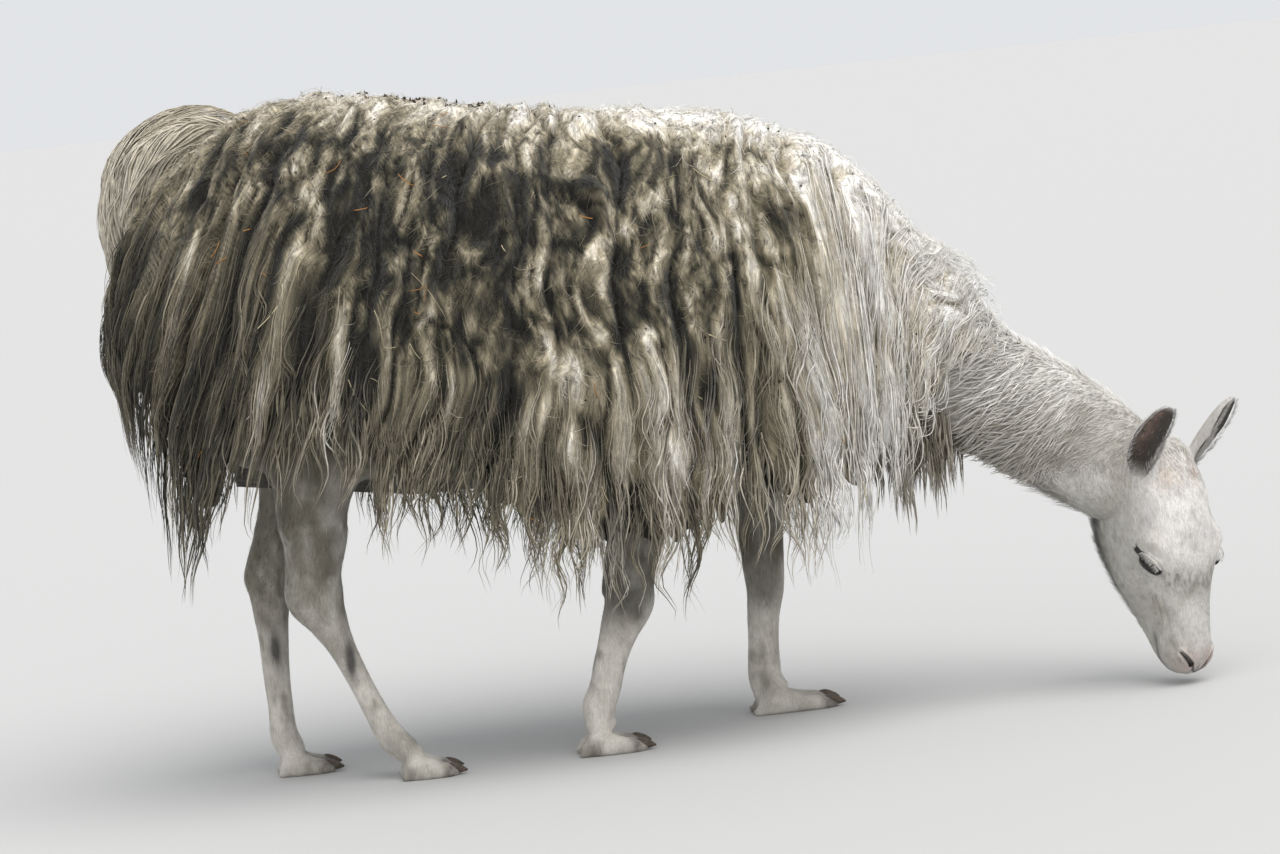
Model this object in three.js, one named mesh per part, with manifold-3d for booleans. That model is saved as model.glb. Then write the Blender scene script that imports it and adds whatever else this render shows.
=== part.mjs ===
// A llama in a full matted fleece, grazing with its head turned to its right: a still, life-size model.
// Millimetres. +X is forwards, +Y is the animal's left and +Z is up.
// The origin is on the floor, under the middle of the model's box.
import * as THREE from "three";
import { mergeVertices } from "three/addons/utils/BufferGeometryUtils.js";
import Module from "manifold-3d";

const wasm = await Module();
wasm.setup();

// ---- Driving dimensions ----------------------------------------------------------------------

const GAP = 0.6; // between two pieces that touch
const SLACK = 0.25; // how far joining small faces may move a surface
const SIDES = [
  ["right", -1],
  ["left", 1],
];

// The trunk with its fleece. Each station is [x, top, underside, half width].
const TRUNK_STATIONS = [
  [-880, 770, 730, 30],
  [-862, 885, 640, 120],
  [-815, 985, 560, 190],
  [-740, 1076, 505, 240],
  [-631, 1142, 480, 275],
  [-518, 1160, 465, 292],
  [-400, 1152, 450, 300],
  [-266, 1128, 435, 302],
  [-80, 1098, 425, 300],
  [75, 1080, 420, 294],
  [195, 1060, 420, 282],
  [296, 1024, 425, 256],
  [380, 978, 432, 218],
  [445, 918, 446, 176],
  [492, 858, 478, 132],
  [522, 780, 540, 84],
  [532, 700, 610, 30],
];
const TRUNK_RINGS = 36;
const TRUNK_SIDES = 20;
const TRUNK_END_BUNCHING = 0.35; // 0 spaces the rings evenly, 1 draws them to the ends
const WIDEST_AT = 0.4; // share of the trunk's height at which it is widest
const BACK_SQUARENESS = 2.15;
const BELLY_SQUARENESS = 2.7;

// Ropes of matted fleece, which run down the sides and lean back towards the rump.
const ROPE_PITCH = 108;
const ROPE_DEPTH = 15;
const ROPE_MEAN = 0.62; // of the rectified cosine that shapes them
const ROPE_FADE = 160; // radius below which they die away, at the trunk's ends
const ROPE_ON_SPINE = 0.4; // share of their depth left on top of the back
const ROPE_LEAN = [
  [-880, 0.55],
  [-500, 0.5],
  [-200, 0.36],
  [150, 0.16],
  [532, 0.03],
];

// The skirt of hanging locks. Each knot is [x, height of the lock tips above the floor].
const SKIRT_TIPS = [
  [-826, 575],
  [-802, 505],
  [-782, 410],
  [-752, 403],
  [-715, 500],
  [-600, 545],
  [-525, 525],
  [-460, 425],
  [-400, 392],
  [-350, 420],
  [-260, 352],
  [-165, 286],
  [-50, 280],
  [50, 290],
  [130, 330],
  [180, 335],
  [255, 288],
  [330, 318],
  [400, 348],
  [455, 395],
  [492, 470],
];
const SKIRT_TOP = 590;
const SKIRT_THICK = 62;
const SKIRT_TUCK = 8; // how far it hangs inside the trunk's widest line
const SKIRT_THINNEST = 8; // its inner face stays this far from the middle plane
// Its section, going round: [share of its thickness, share of its drop].
const SKIRT_SECTION = [
  [0.8, 0],
  [1, 0.4],
  [0.84, 0.8],
  [0.6, 1],
  [0.1, 0.7],
  [0, 0],
];
const SKIRT_TOOTH = 18; // how far a lock's tip hangs below the notch beside it
const SKIRT_RINGS = 38;

// Limbs: a station is a section's middle, then its reach forwards, backwards and to each side.
const NECK = [
  { at: [395, 0, 725], ahead: 150, behind: 190, aside: 128 },
  { at: [495, -4, 628], ahead: 168, behind: 168, aside: 114 },
  { at: [588, -14, 549], ahead: 134, behind: 130, aside: 98 },
  { at: [672, -34, 487], ahead: 122, behind: 116, aside: 88 },
  { at: [755, -58, 422], ahead: 115, behind: 112, aside: 84 },
  { at: [825, -78, 360], ahead: 100, behind: 98, aside: 78 },
  { at: [852, -86, 330], ahead: 78, behind: 82, aside: 66 },
];

const HIND_RIGHT = [
  { at: [-552, -128, 640], ahead: 105, behind: 105, aside: 70 },
  { at: [-584, -114, 486], ahead: 66, behind: 68, aside: 58 },
  { at: [-585, -110, 425], ahead: 57, behind: 58, aside: 49 },
  { at: [-590, -106, 370], ahead: 49, behind: 53, aside: 41 },
  { at: [-588, -102, 322], ahead: 47, behind: 52, aside: 36 },
  { at: [-574, -99, 280], ahead: 36, behind: 38, aside: 31 },
  { at: [-557, -98, 238], ahead: 26, behind: 29, aside: 27 },
  { at: [-535, -96, 180], ahead: 23, behind: 25, aside: 24 },
  { at: [-514, -94, 125], ahead: 24, behind: 25, aside: 25 },
  { at: [-494, -93, 84], ahead: 26, behind: 28, aside: 30 },
  { at: [-470, -92, 50], ahead: 27, behind: 29, aside: 33 },
  { at: [-446, -92, 28], ahead: 22, behind: 26, aside: 32 },
];
const HIND_LEFT = [
  { at: [-560, 128, 640], ahead: 105, behind: 105, aside: 70 },
  { at: [-610, 116, 480], ahead: 62, behind: 56, aside: 58 },
  { at: [-638, 112, 410], ahead: 48, behind: 44, aside: 47 },
  { at: [-652, 107, 367], ahead: 46, behind: 45, aside: 40 },
  { at: [-657, 103, 330], ahead: 41, behind: 42, aside: 36 },
  { at: [-661, 100, 286], ahead: 35, behind: 36, aside: 31 },
  { at: [-662, 98, 240], ahead: 30, behind: 31, aside: 27 },
  { at: [-664, 95, 180], ahead: 27, behind: 28, aside: 24 },
  { at: [-664, 93, 120], ahead: 26, behind: 26, aside: 25 },
  { at: [-663, 92, 78], ahead: 27, behind: 27, aside: 30 },
  { at: [-655, 92, 46], ahead: 29, behind: 30, aside: 33 },
  { at: [-640, 92, 27], ahead: 24, behind: 28, aside: 32 },
];
const FORE_RIGHT = [
  { at: [25, -118, 580], ahead: 76, behind: 80, aside: 60 },
  { at: [-30, -110, 400], ahead: 54, behind: 54, aside: 48 },
  { at: [-58, -107, 300], ahead: 46, behind: 46, aside: 40 },
  { at: [-66, -106, 255], ahead: 44, behind: 45, aside: 38 },
  { at: [-84, -102, 212], ahead: 37, behind: 39, aside: 34 },
  { at: [-97, -99, 180], ahead: 33, behind: 34, aside: 29 },
  { at: [-109, -96, 146], ahead: 31, behind: 33, aside: 27 },
  { at: [-118, -94, 115], ahead: 31, behind: 32, aside: 28 },
  { at: [-130, -92, 84], ahead: 31, behind: 32, aside: 31 },
  { at: [-134, -91, 56], ahead: 31, behind: 33, aside: 35 },
  { at: [-124, -90, 34], ahead: 30, behind: 36, aside: 36 },
];
const FORE_LEFT = [
  { at: [190, 118, 580], ahead: 76, behind: 80, aside: 60 },
  { at: [206, 112, 400], ahead: 54, behind: 54, aside: 48 },
  { at: [212, 108, 290], ahead: 39, behind: 41, aside: 38 },
  { at: [206, 104, 225], ahead: 35, behind: 36, aside: 35 },
  { at: [198, 101, 172], ahead: 32, behind: 33, aside: 29 },
  { at: [193, 98, 122], ahead: 31, behind: 32, aside: 27 },
  { at: [191, 96, 90], ahead: 32, behind: 34, aside: 30 },
  { at: [190, 93, 62], ahead: 33, behind: 35, aside: 34 },
  { at: [200, 91, 40], ahead: 34, behind: 40, aside: 36 },
  { at: [215, 90, 26], ahead: 30, behind: 40, aside: 35 },
];

// Feet: the heel and toe ends of each two-toed foot.
const FEET = [
  { name: "hind_right", stations: HIND_RIGHT, heel: -482, tip: -388, y: -92 },
  { name: "hind_left", stations: HIND_LEFT, heel: -680, tip: -584, y: 92 },
  { name: "fore_right", stations: FORE_RIGHT, heel: -176, tip: -62, y: -90 },
  { name: "fore_left", stations: FORE_LEFT, heel: 160, tip: 306, y: 90 },
];
const TOE_SPREAD = 21; // from the middle of the foot to the middle of a toe
const TOE_SPLAY = 7; // more spread at the tip
const SOLE_DEPTH = 6; // the part of a toe's section that the floor cuts away
// [share of the length from the heel, height, half width]
const TOE_SECTIONS = [
  [0, 14, 10],
  [0.3, 42, 20],
  [0.62, 30, 20],
  [0.88, 22, 17],
  [1, 12, 8],
];
const NAIL_LENGTH = 36;
const NAIL_OVERLAP = 0.55; // share of the nail that lies over the toe
const NAIL_LEVEL = [16, 7]; // height of its middle, at the root and at the tip
const NAIL_SECTIONS = [
  [0, 13, 8],
  [0.3, 19, 10],
  [0.7, 14, 7],
  [1, 4, 2],
];

// The tail, carried over and hanging behind the rump.
const TAIL = [
  { at: [-600, 0, 1080], ahead: 40, behind: 40, aside: 38 },
  { at: [-668, 8, 1120], ahead: 46, behind: 46, aside: 42 },
  { at: [-738, 20, 1116], ahead: 54, behind: 54, aside: 49 },
  { at: [-796, 28, 1076], ahead: 56, behind: 56, aside: 50 },
  { at: [-826, 30, 1018], ahead: 48, behind: 48, aside: 41 },
  { at: [-836, 30, 968], ahead: 30, behind: 30, aside: 24 },
  { at: [-836, 30, 936], ahead: 9, behind: 9, aside: 8 },
];

// The head in its own frame: X from the poll to the nose, Y to the left, Z up from the forehead.
const HEAD_AT = [869, -92, 374]; // the middle of the section at the poll
const HEAD_TURN = 73; // degrees: the forehead faces this far round to the right
const HEAD_PITCH = 78; // degrees: the nose points this far down
const HEAD_TILT = -12; // degrees: roll to the left about the line from poll to nose
// [x, forehead or bridge height, jaw depth, half width]
const HEAD_STATIONS = [
  [-46, 31, 66, 43],
  [-34, 56, 98, 64],
  [-6, 72, 122, 74],
  [40, 81, 145, 78],
  [90, 85, 152, 78],
  [135, 83, 146, 80],
  [180, 74, 131, 76],
  [215, 63, 117, 66],
  [250, 52, 101, 56],
  [285, 45, 85, 49],
  [318, 38, 68, 45],
  [342, 30, 50, 39],
  [358, 17, 30, 27],
  [364, 5, 10, 9],
];
const HEAD_RINGS = 28;
const HEAD_SIDES = 22;
const HEAD_END_BUNCHING = 0.5;
const HEAD_SQUARENESS = 2.25;
const JAW_NARROWING = 0.24; // of the head's width, from the cheek down to the jaw's edge
// Swellings and hollows of the head: middle [x, degrees round from the forehead], reach, height.
const HEAD_FORMS = [
  { x: 146, turn: 60, along: 34, round: 20, height: 20 }, // brow over the eye
  { x: 170, turn: 80, along: 21, round: 13, height: -5 }, // hollow of the eye
  { x: 195, turn: 116, along: 40, round: 14, height: 5 }, // cheekbone
  { x: 88, turn: 120, along: 50, round: 26, height: 8 }, // chewing muscle
  { x: 250, turn: 95, along: 30, round: 22, height: -5 }, // hollow before the eye
  { x: 335, turn: 52, along: 15, round: 16, height: 5 }, // wing of the nostril
  { x: 328, turn: 112, along: 22, round: 22, height: 4 }, // upper lip
  { x: 112, turn: 0, along: 44, round: 30, height: 5 }, // forehead
  { x: 60, turn: 62, along: 46, round: 26, height: 6 }, // temple
  { x: 314, turn: 180, along: 20, round: 34, height: 5 }, // chin
];

const EYE_RADIUS = 22;
const EYE_AT = [166, 66, 27]; // of the left eye, in the head's frame

const EAR_BASE = [6, 61, 42]; // of the left ear, in the head's frame
const EAR_AIM = [-0.62, 0.1, 0.77]; // from base to tip
const EAR_FRONT = [0.85, 0.15, 0.5]; // the way the ear's hollow faces
const EAR_LENGTH = 158;
const EAR_BOW = 14; // how far the ear's middle bends outwards
const EAR_THICK = 6;
// [share of the length, half the span]
const EAR_SPAN = [
  [0, 23],
  [0.18, 27],
  [0.42, 29],
  [0.68, 27],
  [0.87, 20],
  [0.96, 12],
  [1, 5],
];
const EAR_CUP = [1.15, 0.75]; // depth of the hollow at the base and at the tip, over half the span
const EAR_ROOT_THICK = 8; // added to the thickness at the base
const EAR_ARC = 170; // degrees of the cup's wall
const EAR_RINGS = 10;
const EAR_ARC_POINTS = 5;

// ---- Helpers ---------------------------------------------------------------------------------

const radians = THREE.MathUtils.degToRad;
const UP = new THREE.Vector3(0, 0, 1);

// The value at t of a smooth curve through knots [[t, value, value...], ...].
function through(knots, t, column = 1) {
  const last = knots.length - 1;
  let i = 0;
  while (i < last - 1 && t > knots[i + 1][0]) i += 1;
  const slope = (k) => {
    const low = knots[Math.max(k - 1, 0)];
    const high = knots[Math.min(k + 1, last)];
    return (high[column] - low[column]) / (high[0] - low[0]);
  };
  const span = knots[i + 1][0] - knots[i][0];
  const u = THREE.MathUtils.clamp((t - knots[i][0]) / span, 0, 1);
  const from = knots[i][column];
  const to = knots[i + 1][column];
  const cube = 2 * (from - to) + (slope(i) + slope(i + 1)) * span;
  const square = 3 * (to - from) - (2 * slope(i) + slope(i + 1)) * span;
  return ((cube * u + square) * u + slope(i) * span) * u + from;
}

// A point of a rounded section: reach is [up, down, side], turn runs from the top, and a squareness
// over 2 fills the corners of the ellipse.
function sectionPoint(turn, reach, squareness) {
  const c = Math.cos(turn);
  const s = Math.sin(turn);
  const power = 2 / squareness;
  const high = Math.sign(c) * Math.abs(c) ** power * (c > 0 ? reach[0] : reach[1]);
  const wide = Math.sign(s) * Math.abs(s) ** power * reach[2];
  return [high, wide];
}

// A closed geometry through rings of points, with a point in the middle of each end.
function loft(rings) {
  const sides = rings[0].length;
  const middleOf = (ring) => ring.reduce((sum, p) => sum.add(p), new THREE.Vector3()).divideScalar(sides);
  const points = [...rings.flat(), middleOf(rings[0]), middleOf(rings.at(-1))];
  const faces = [];
  const lastRing = (rings.length - 1) * sides;
  for (let j = 0; j < sides; j += 1) {
    const next = (j + 1) % sides;
    for (let i = 0; i < lastRing; i += sides) {
      faces.push([i + j, i + sides + j, i + next]);
      faces.push([i + next, i + sides + j, i + sides + next]);
    }
    faces.push([points.length - 2, j, next]);
    faces.push([points.length - 1, lastRing + next, lastRing + j]);
  }
  const geometry = new THREE.BufferGeometry().setFromPoints(points);
  return geometry.setIndex(faces.flat());
}

// Rings round a spine through the stations. A station's reach is measured along `front`, away from
// it, and across; it grows by `grow` all round.
function limb(stations, { front, rings, sides, squareness = 2, grow = 0 }) {
  const knots = stations.map((s, i) => [i, ...s.at, s.ahead, s.behind, s.aside]);
  const last = stations.length - 1;
  const spine = (t) => new THREE.Vector3(through(knots, t, 1), through(knots, t, 2), through(knots, t, 3));
  const made = [];
  for (let i = 0; i <= rings; i += 1) {
    const t = (i / rings) * last;
    const middle = spine(t);
    const along = spine(Math.min(t + 0.05, last)).sub(spine(Math.max(t - 0.05, 0))).normalize();
    const ahead = front.clone().addScaledVector(along, -front.dot(along)).normalize();
    const across = along.clone().cross(ahead);
    const reach = [4, 5, 6].map((column) => through(knots, t, column) + grow);
    const ring = [];
    for (let j = 0; j < sides; j += 1) {
      const [high, wide] = sectionPoint((j / sides) * 2 * Math.PI, reach, squareness);
      ring.push(middle.clone().addScaledVector(ahead, high).addScaledVector(across, wide));
    }
    made.push(ring);
  }
  const lengthen = (ring, from, to) => {
    const outwards = to.clone().sub(from).normalize();
    ring.forEach((p) => p.addScaledVector(outwards, grow));
  };
  lengthen(made[0], spine(0.05), spine(0));
  lengthen(made.at(-1), spine(last - 0.05), spine(last));
  return loft(made);
}

// Where to put rings along a list of stations, evenly or drawn to its ends.
function bunched(stations, count, bunching) {
  const [first, last] = [stations[0][0], stations.at(-1)[0]];
  return Array.from({ length: count + 1 }, (_, i) => {
    const even = i / count;
    const share = even - (Math.sin(2 * Math.PI * even) / (2 * Math.PI)) * bunching;
    return first + (last - first) * share;
  });
}

// Rings along X with the first and last moved outwards.
function lengthened(rings, by) {
  rings[0].forEach((p) => (p.x -= by));
  rings.at(-1).forEach((p) => (p.x += by));
  return rings;
}

// A manifold solid from a closed geometry, turned the right way out.
function solid(geometry) {
  const bare = geometry.index ? geometry.toNonIndexed() : geometry.clone();
  bare.deleteAttribute("normal");
  bare.deleteAttribute("uv");
  const merged = mergeVertices(bare, 1e-3);
  const triVerts = new Uint32Array(merged.index.array);
  const vertProperties = merged.attributes.position.array;
  const corner = [0, 1, 2].map(() => new THREE.Vector3());
  let volume = 0;
  for (let i = 0; i < triVerts.length; i += 3) {
    corner.forEach((v, k) => v.fromArray(vertProperties, triVerts[i + k] * 3));
    volume += corner[0].dot(corner[1].clone().cross(corner[2]));
  }
  if (volume < 0) {
    for (let i = 0; i < triVerts.length; i += 3) {
      [triVerts[i + 1], triVerts[i + 2]] = [triVerts[i + 2], triVerts[i + 1]];
    }
  }
  return new wasm.Manifold(new wasm.Mesh({ numProp: 3, vertProperties, triVerts }));
}

// The largest body of a solid, so that a cut leaves no crumbs.
function largest(made) {
  return made.decompose().reduce((best, body) => (body.volume() > best.volume() ? body : best));
}

// A geometry for three.js from a manifold solid.
function geometryOf(made) {
  const { vertProperties, triVerts, numProp, numVert } = made.getMesh();
  const positions = new Float32Array(numVert * 3);
  for (let i = 0; i < numVert; i += 1) {
    positions.set(vertProperties.subarray(i * numProp, i * numProp + 3), i * 3);
  }
  const geometry = new THREE.BufferGeometry();
  geometry.setAttribute("position", new THREE.BufferAttribute(positions, 3));
  geometry.setIndex(new THREE.BufferAttribute(triVerts, 1));
  return geometry;
}

// ---- Materials -------------------------------------------------------------------------------

const finish = (color, roughness) => new THREE.MeshStandardMaterial({ color, roughness, metalness: 0 });
const MATTED_FLEECE = finish(0x8c8173, 0.95);
const SHORT_COAT = finish(0xcfc8bd, 0.9);
const TAIL_COAT = finish(0xb9b3a2, 0.9);
const EAR_COAT = finish(0xb8aca0, 0.9);
const EYE_GLOSS = finish(0x14100e, 0.1);
const NAIL_HORN = finish(0x4a4440, 0.5);

// ---- Trunk and its skirt of locks ------------------------------------------------------------

// How far the fleece stands out at a place, where ropes are high and the furrows between them low.
function ropes(x, drop) {
  const phase = (x + through(ROPE_LEAN, x) * drop) / ROPE_PITCH;
  return ROPE_DEPTH * (Math.abs(Math.cos(Math.PI * phase)) - ROPE_MEAN);
}

function trunkRing(x, grow) {
  const [top, under, half] = [1, 2, 3].map((column) => through(TRUNK_STATIONS, x, column));
  const widest = under + (top - under) * WIDEST_AT;
  const reach = [top - widest + grow, widest - under + grow, half + grow];
  const ring = [];
  for (let j = 0; j < TRUNK_SIDES; j += 1) {
    const turn = (j / TRUNK_SIDES) * 2 * Math.PI;
    const squareness = Math.cos(turn) > 0 ? BACK_SQUARENESS : BELLY_SQUARENESS;
    const [high, wide] = sectionPoint(turn, reach, squareness);
    const size = Math.hypot(high, wide);
    const fade = Math.min(1, size / ROPE_FADE) * (j === 0 ? ROPE_ON_SPINE : 1);
    const swell = 1 + (fade * ropes(x, reach[0] - high)) / size;
    ring.push(new THREE.Vector3(x, wide * swell, widest + high * swell));
  }
  return ring;
}

function trunk(grow = 0) {
  const rings = bunched(TRUNK_STATIONS, TRUNK_RINGS, TRUNK_END_BUNCHING).map((x) => trunkRing(x, grow));
  return solid(loft(lengthened(rings, grow)));
}

// One side's curtain of locks, hanging from the widest part of the trunk.
function skirt(side, grow = 0) {
  const rings = bunched(SKIRT_TIPS, SKIRT_RINGS, 0).map((x, i) => {
    const tip = through(SKIRT_TIPS, x) + SKIRT_TOOTH * (i % 2);
    const out = through(TRUNK_STATIONS, x, 3) - SKIRT_TUCK + ropes(x, SKIRT_TOP) / 2;
    const inner = Math.max(out - SKIRT_THICK, SKIRT_THINNEST);
    const middle = new THREE.Vector2((out + inner) / 2, (SKIRT_TOP + tip) / 2);
    return SKIRT_SECTION.map(([across, down]) => {
      const p = new THREE.Vector2(inner + (out - inner) * across, SKIRT_TOP + (tip - SKIRT_TOP) * down);
      p.add(p.clone().sub(middle).normalize().multiplyScalar(grow));
      return new THREE.Vector3(x, side * p.x, p.y);
    });
  });
  return solid(loft(lengthened(rings, grow)));
}

// ---- Head, with eyes and ears ----------------------------------------------------------------

// The head's frame in the animal's.
function headFrame() {
  const turn = radians(HEAD_TURN);
  const pitch = radians(HEAD_PITCH);
  const facing = new THREE.Vector3(Math.cos(turn), -Math.sin(turn), 0);
  const nose = facing.clone().multiplyScalar(Math.cos(pitch)).addScaledVector(UP, -Math.sin(pitch));
  const crown = facing.clone().multiplyScalar(Math.sin(pitch)).addScaledVector(UP, Math.cos(pitch));
  crown.applyAxisAngle(nose, radians(HEAD_TILT));
  const left = crown.clone().cross(nose);
  return new THREE.Matrix4().makeBasis(nose, left, crown).setPosition(...HEAD_AT);
}

// The swellings and hollows at a place on the head, with turn in degrees from the forehead.
function headForms(x, turn) {
  return HEAD_FORMS.reduce((sum, form) => {
    const along = (x - form.x) / form.along;
    const round = (turn - form.turn) / form.round;
    return sum + form.height * Math.exp(-along * along - round * round);
  }, 0);
}

function headRing(x, grow) {
  const reach = [1, 2, 3].map((column) => through(HEAD_STATIONS, x, column));
  const ring = [];
  for (let j = 0; j < HEAD_SIDES; j += 1) {
    const turn = (j / HEAD_SIDES) * 2 * Math.PI;
    const degrees = THREE.MathUtils.radToDeg(Math.min(turn, 2 * Math.PI - turn));
    const [high, wide] = sectionPoint(turn, reach, HEAD_SQUARENESS);
    const swell = 1 + (headForms(x, degrees) + grow) / Math.hypot(high, wide);
    const narrow = high < 0 ? 1 - JAW_NARROWING * (high / reach[1]) ** 2 : 1;
    ring.push(new THREE.Vector3(x, wide * swell * narrow, high * swell));
  }
  return ring;
}

function headSkull(grow = 0) {
  const rings = bunched(HEAD_STATIONS, HEAD_RINGS, HEAD_END_BUNCHING).map((x) => headRing(x, grow));
  return loft(lengthened(rings, grow));
}

function eyeball(side, grow = 0) {
  const ball = new THREE.SphereGeometry(EYE_RADIUS + grow, 10, 7);
  return ball.translate(EYE_AT[0], side * EYE_AT[1], EYE_AT[2]);
}

// A curved leaf, hollow in front, that bows outwards and closes at its tip.
function ear(side, grow = 0) {
  const aim = new THREE.Vector3(...EAR_AIM).normalize();
  const front = new THREE.Vector3(...EAR_FRONT);
  front.addScaledVector(aim, -front.dot(aim)).normalize();
  const across = aim.clone().cross(front);
  const arc = (middle, wide, deep, turn) =>
    Array.from({ length: EAR_ARC_POINTS }, (_, k) => {
      const angle = turn * radians(EAR_ARC) * (k / (EAR_ARC_POINTS - 1) - 0.5);
      const p = middle.clone().addScaledVector(across, Math.sin(angle) * wide);
      p.addScaledVector(front, -Math.cos(angle) * deep);
      p.y *= side;
      return p;
    });
  const rings = [];
  for (let i = 0; i <= EAR_RINGS; i += 1) {
    const t = i / EAR_RINGS;
    const middle = new THREE.Vector3(...EAR_BASE).addScaledVector(aim, EAR_LENGTH * t);
    middle.y += EAR_BOW * Math.sin(Math.PI * t);
    const half = through(EAR_SPAN, t);
    const cup = half * THREE.MathUtils.lerp(...EAR_CUP, t);
    const thick = EAR_THICK * (1 - t / 2) + EAR_ROOT_THICK * (1 - t) ** 6;
    const inner = [half, cup].map((reach) => Math.max(reach - thick - grow, 0.4));
    rings.push([...arc(middle, half + grow, cup + grow, 1), ...arc(middle, ...inner, -1)]);
  }
  return loft(rings);
}

// ---- Legs, with toes and nails ---------------------------------------------------------------

// Sections along a toe, or along its nail, between two places on the way from the heel to the tip.
function alongToe(foot, side, from, length, sections, level) {
  return sections.map(([share, high, wide]) => {
    const x = from + length * share;
    const forward = (x - foot.heel) / (foot.tip - foot.heel);
    const y = foot.y + side * (TOE_SPREAD + TOE_SPLAY * forward);
    return { at: [x, y, level(share, high)], ahead: high / 2, behind: high / 2, aside: wide };
  });
}

function toe(foot, side) {
  const sections = TOE_SECTIONS.map(([share, high, wide]) => [share, high + SOLE_DEPTH, wide]);
  const level = (share, high) => high / 2 - SOLE_DEPTH;
  const stations = alongToe(foot, side, foot.heel, foot.tip - foot.heel, sections, level);
  return solid(limb(stations, { front: UP, rings: 5, sides: 8, squareness: 2.6 }));
}

function nail(foot, side, grow = 0) {
  const root = foot.tip - NAIL_LENGTH * NAIL_OVERLAP;
  const level = (share) => THREE.MathUtils.lerp(...NAIL_LEVEL, share);
  const stations = alongToe(foot, side, root, NAIL_LENGTH, NAIL_SECTIONS, level);
  return solid(limb(stations, { front: UP, rings: 3, sides: 6, grow }));
}

// ---- Assembly --------------------------------------------------------------------------------

const llama = new THREE.Group();
const place = new THREE.Group();
llama.add(place);

function add(name, made, material) {
  const mesh = new THREE.Mesh(geometryOf(largest(made).simplify(SLACK)), material);
  mesh.name = name;
  place.add(mesh);
}

const cut = (made, cutters) => cutters.reduce((left, cutter) => left.subtract(cutter), made);
const inHead = headFrame();
const atHead = (geometry) => solid(geometry.applyMatrix4(inHead));
const onBothSides = (make) => SIDES.map(([, side]) => make(side));

const neckForm = { front: new THREE.Vector3(0.4, 0, 1).normalize(), rings: 9, sides: 16 };
const tailForm = { front: new THREE.Vector3(0, 1, 0), rings: 11, sides: 10 };
const legForm = { front: new THREE.Vector3(1, 0, 0), rings: 14, sides: 10 };

const trunkCutter = trunk(GAP);
const neckCutter = solid(limb(NECK, { ...neckForm, grow: GAP }));
const skirtCutters = onBothSides((side) => skirt(side, GAP));
const skullCutter = atHead(headSkull(GAP));
const earCutters = onBothSides((side) => atHead(ear(side, GAP)));
const eyeCutters = onBothSides((side) => atHead(eyeball(side, GAP)));
const floorBlock = solid(new THREE.BoxGeometry(4000, 2000, 200).translate(0, 0, -100));

add("trunk", trunk(), MATTED_FLEECE);
add("tail", cut(solid(limb(TAIL, tailForm)), [trunkCutter]), TAIL_COAT);
add("neck", cut(solid(limb(NECK, neckForm)), [trunkCutter, skullCutter, ...earCutters]), SHORT_COAT);
add("head", cut(atHead(headSkull()), eyeCutters), SHORT_COAT);
for (const [name, side] of SIDES) {
  add(`skirt_${name}`, cut(skirt(side), [trunkCutter, neckCutter]), MATTED_FLEECE);
  add(`eye_${name}`, atHead(eyeball(side)), EYE_GLOSS);
  add(`ear_${name}`, cut(atHead(ear(side)), [skullCutter]), EAR_COAT);
}

for (const foot of FEET) {
  const toes = onBothSides((side) => toe(foot, side));
  const nailCutters = onBothSides((side) => nail(foot, side, GAP));
  const whole = toes.reduce((leg, part) => leg.add(part), solid(limb(foot.stations, legForm)));
  const cutters = [trunkCutter, floorBlock, ...skirtCutters, ...nailCutters];
  add(`leg_${foot.name}`, cut(whole, cutters), SHORT_COAT);
  for (const [name, side] of SIDES) add(`nail_${foot.name}_${name}`, nail(foot, side), NAIL_HORN);
}

// The origin goes under the middle of the model's box.
const box = new THREE.Box3().setFromObject(place);
place.position.set(-(box.min.x + box.max.x) / 2, -(box.min.y + box.max.y) / 2, 0);

export default llama;
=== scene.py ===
# %% [markdown]
# # A llama in a matted fleece, for a museum
# The real object is a still, life-size model of a llama that grazes with its head turned aside.
# It is a skin over a solid form, with a very thick, dirty, felted fleece on the trunk, long locks
# that hang from the flanks, bristly wool on the neck and a short flat coat on the face and legs.
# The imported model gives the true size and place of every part. This script gives them their looks.
# Lengths are worked out in millimetres, in the frame the solids were made in, and moved to the
# row's frame in metres when a mesh is made.

import math

import bmesh
import bpy
import numpy as np
from mathutils import Matrix, Vector
from mathutils.bvhtree import BVHTree


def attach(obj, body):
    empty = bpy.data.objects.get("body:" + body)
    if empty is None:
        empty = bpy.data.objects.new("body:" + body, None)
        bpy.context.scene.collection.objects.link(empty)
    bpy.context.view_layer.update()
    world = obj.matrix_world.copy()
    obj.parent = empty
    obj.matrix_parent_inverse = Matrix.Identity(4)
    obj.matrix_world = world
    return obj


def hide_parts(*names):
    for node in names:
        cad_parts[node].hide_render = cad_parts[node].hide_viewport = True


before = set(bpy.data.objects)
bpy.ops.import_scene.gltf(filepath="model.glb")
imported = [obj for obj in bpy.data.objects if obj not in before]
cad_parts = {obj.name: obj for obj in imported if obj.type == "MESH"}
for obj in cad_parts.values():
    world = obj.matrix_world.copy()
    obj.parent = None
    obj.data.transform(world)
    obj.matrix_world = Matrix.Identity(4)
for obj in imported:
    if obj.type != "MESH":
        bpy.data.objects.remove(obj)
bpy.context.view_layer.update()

MM = 0.001
ROW_SHIFT = np.array([-70.189, 0.0, 0.0])  # from the frame of making to the row's frame
SIDES = {"right": -1, "left": 1}  # the sign of Y on each side


def to_row(points):
    """Millimetres in the frame of making, as metres in the row's frame."""
    return (np.asarray(points, float) + ROW_SHIFT) * MM


# %% [markdown]
# ## Camera
# A long lens from seven metres away, a little behind the right side, a little above the back and
# rolled a few degrees, because the animal stood on a slope. It is set by its three directions.

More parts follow.
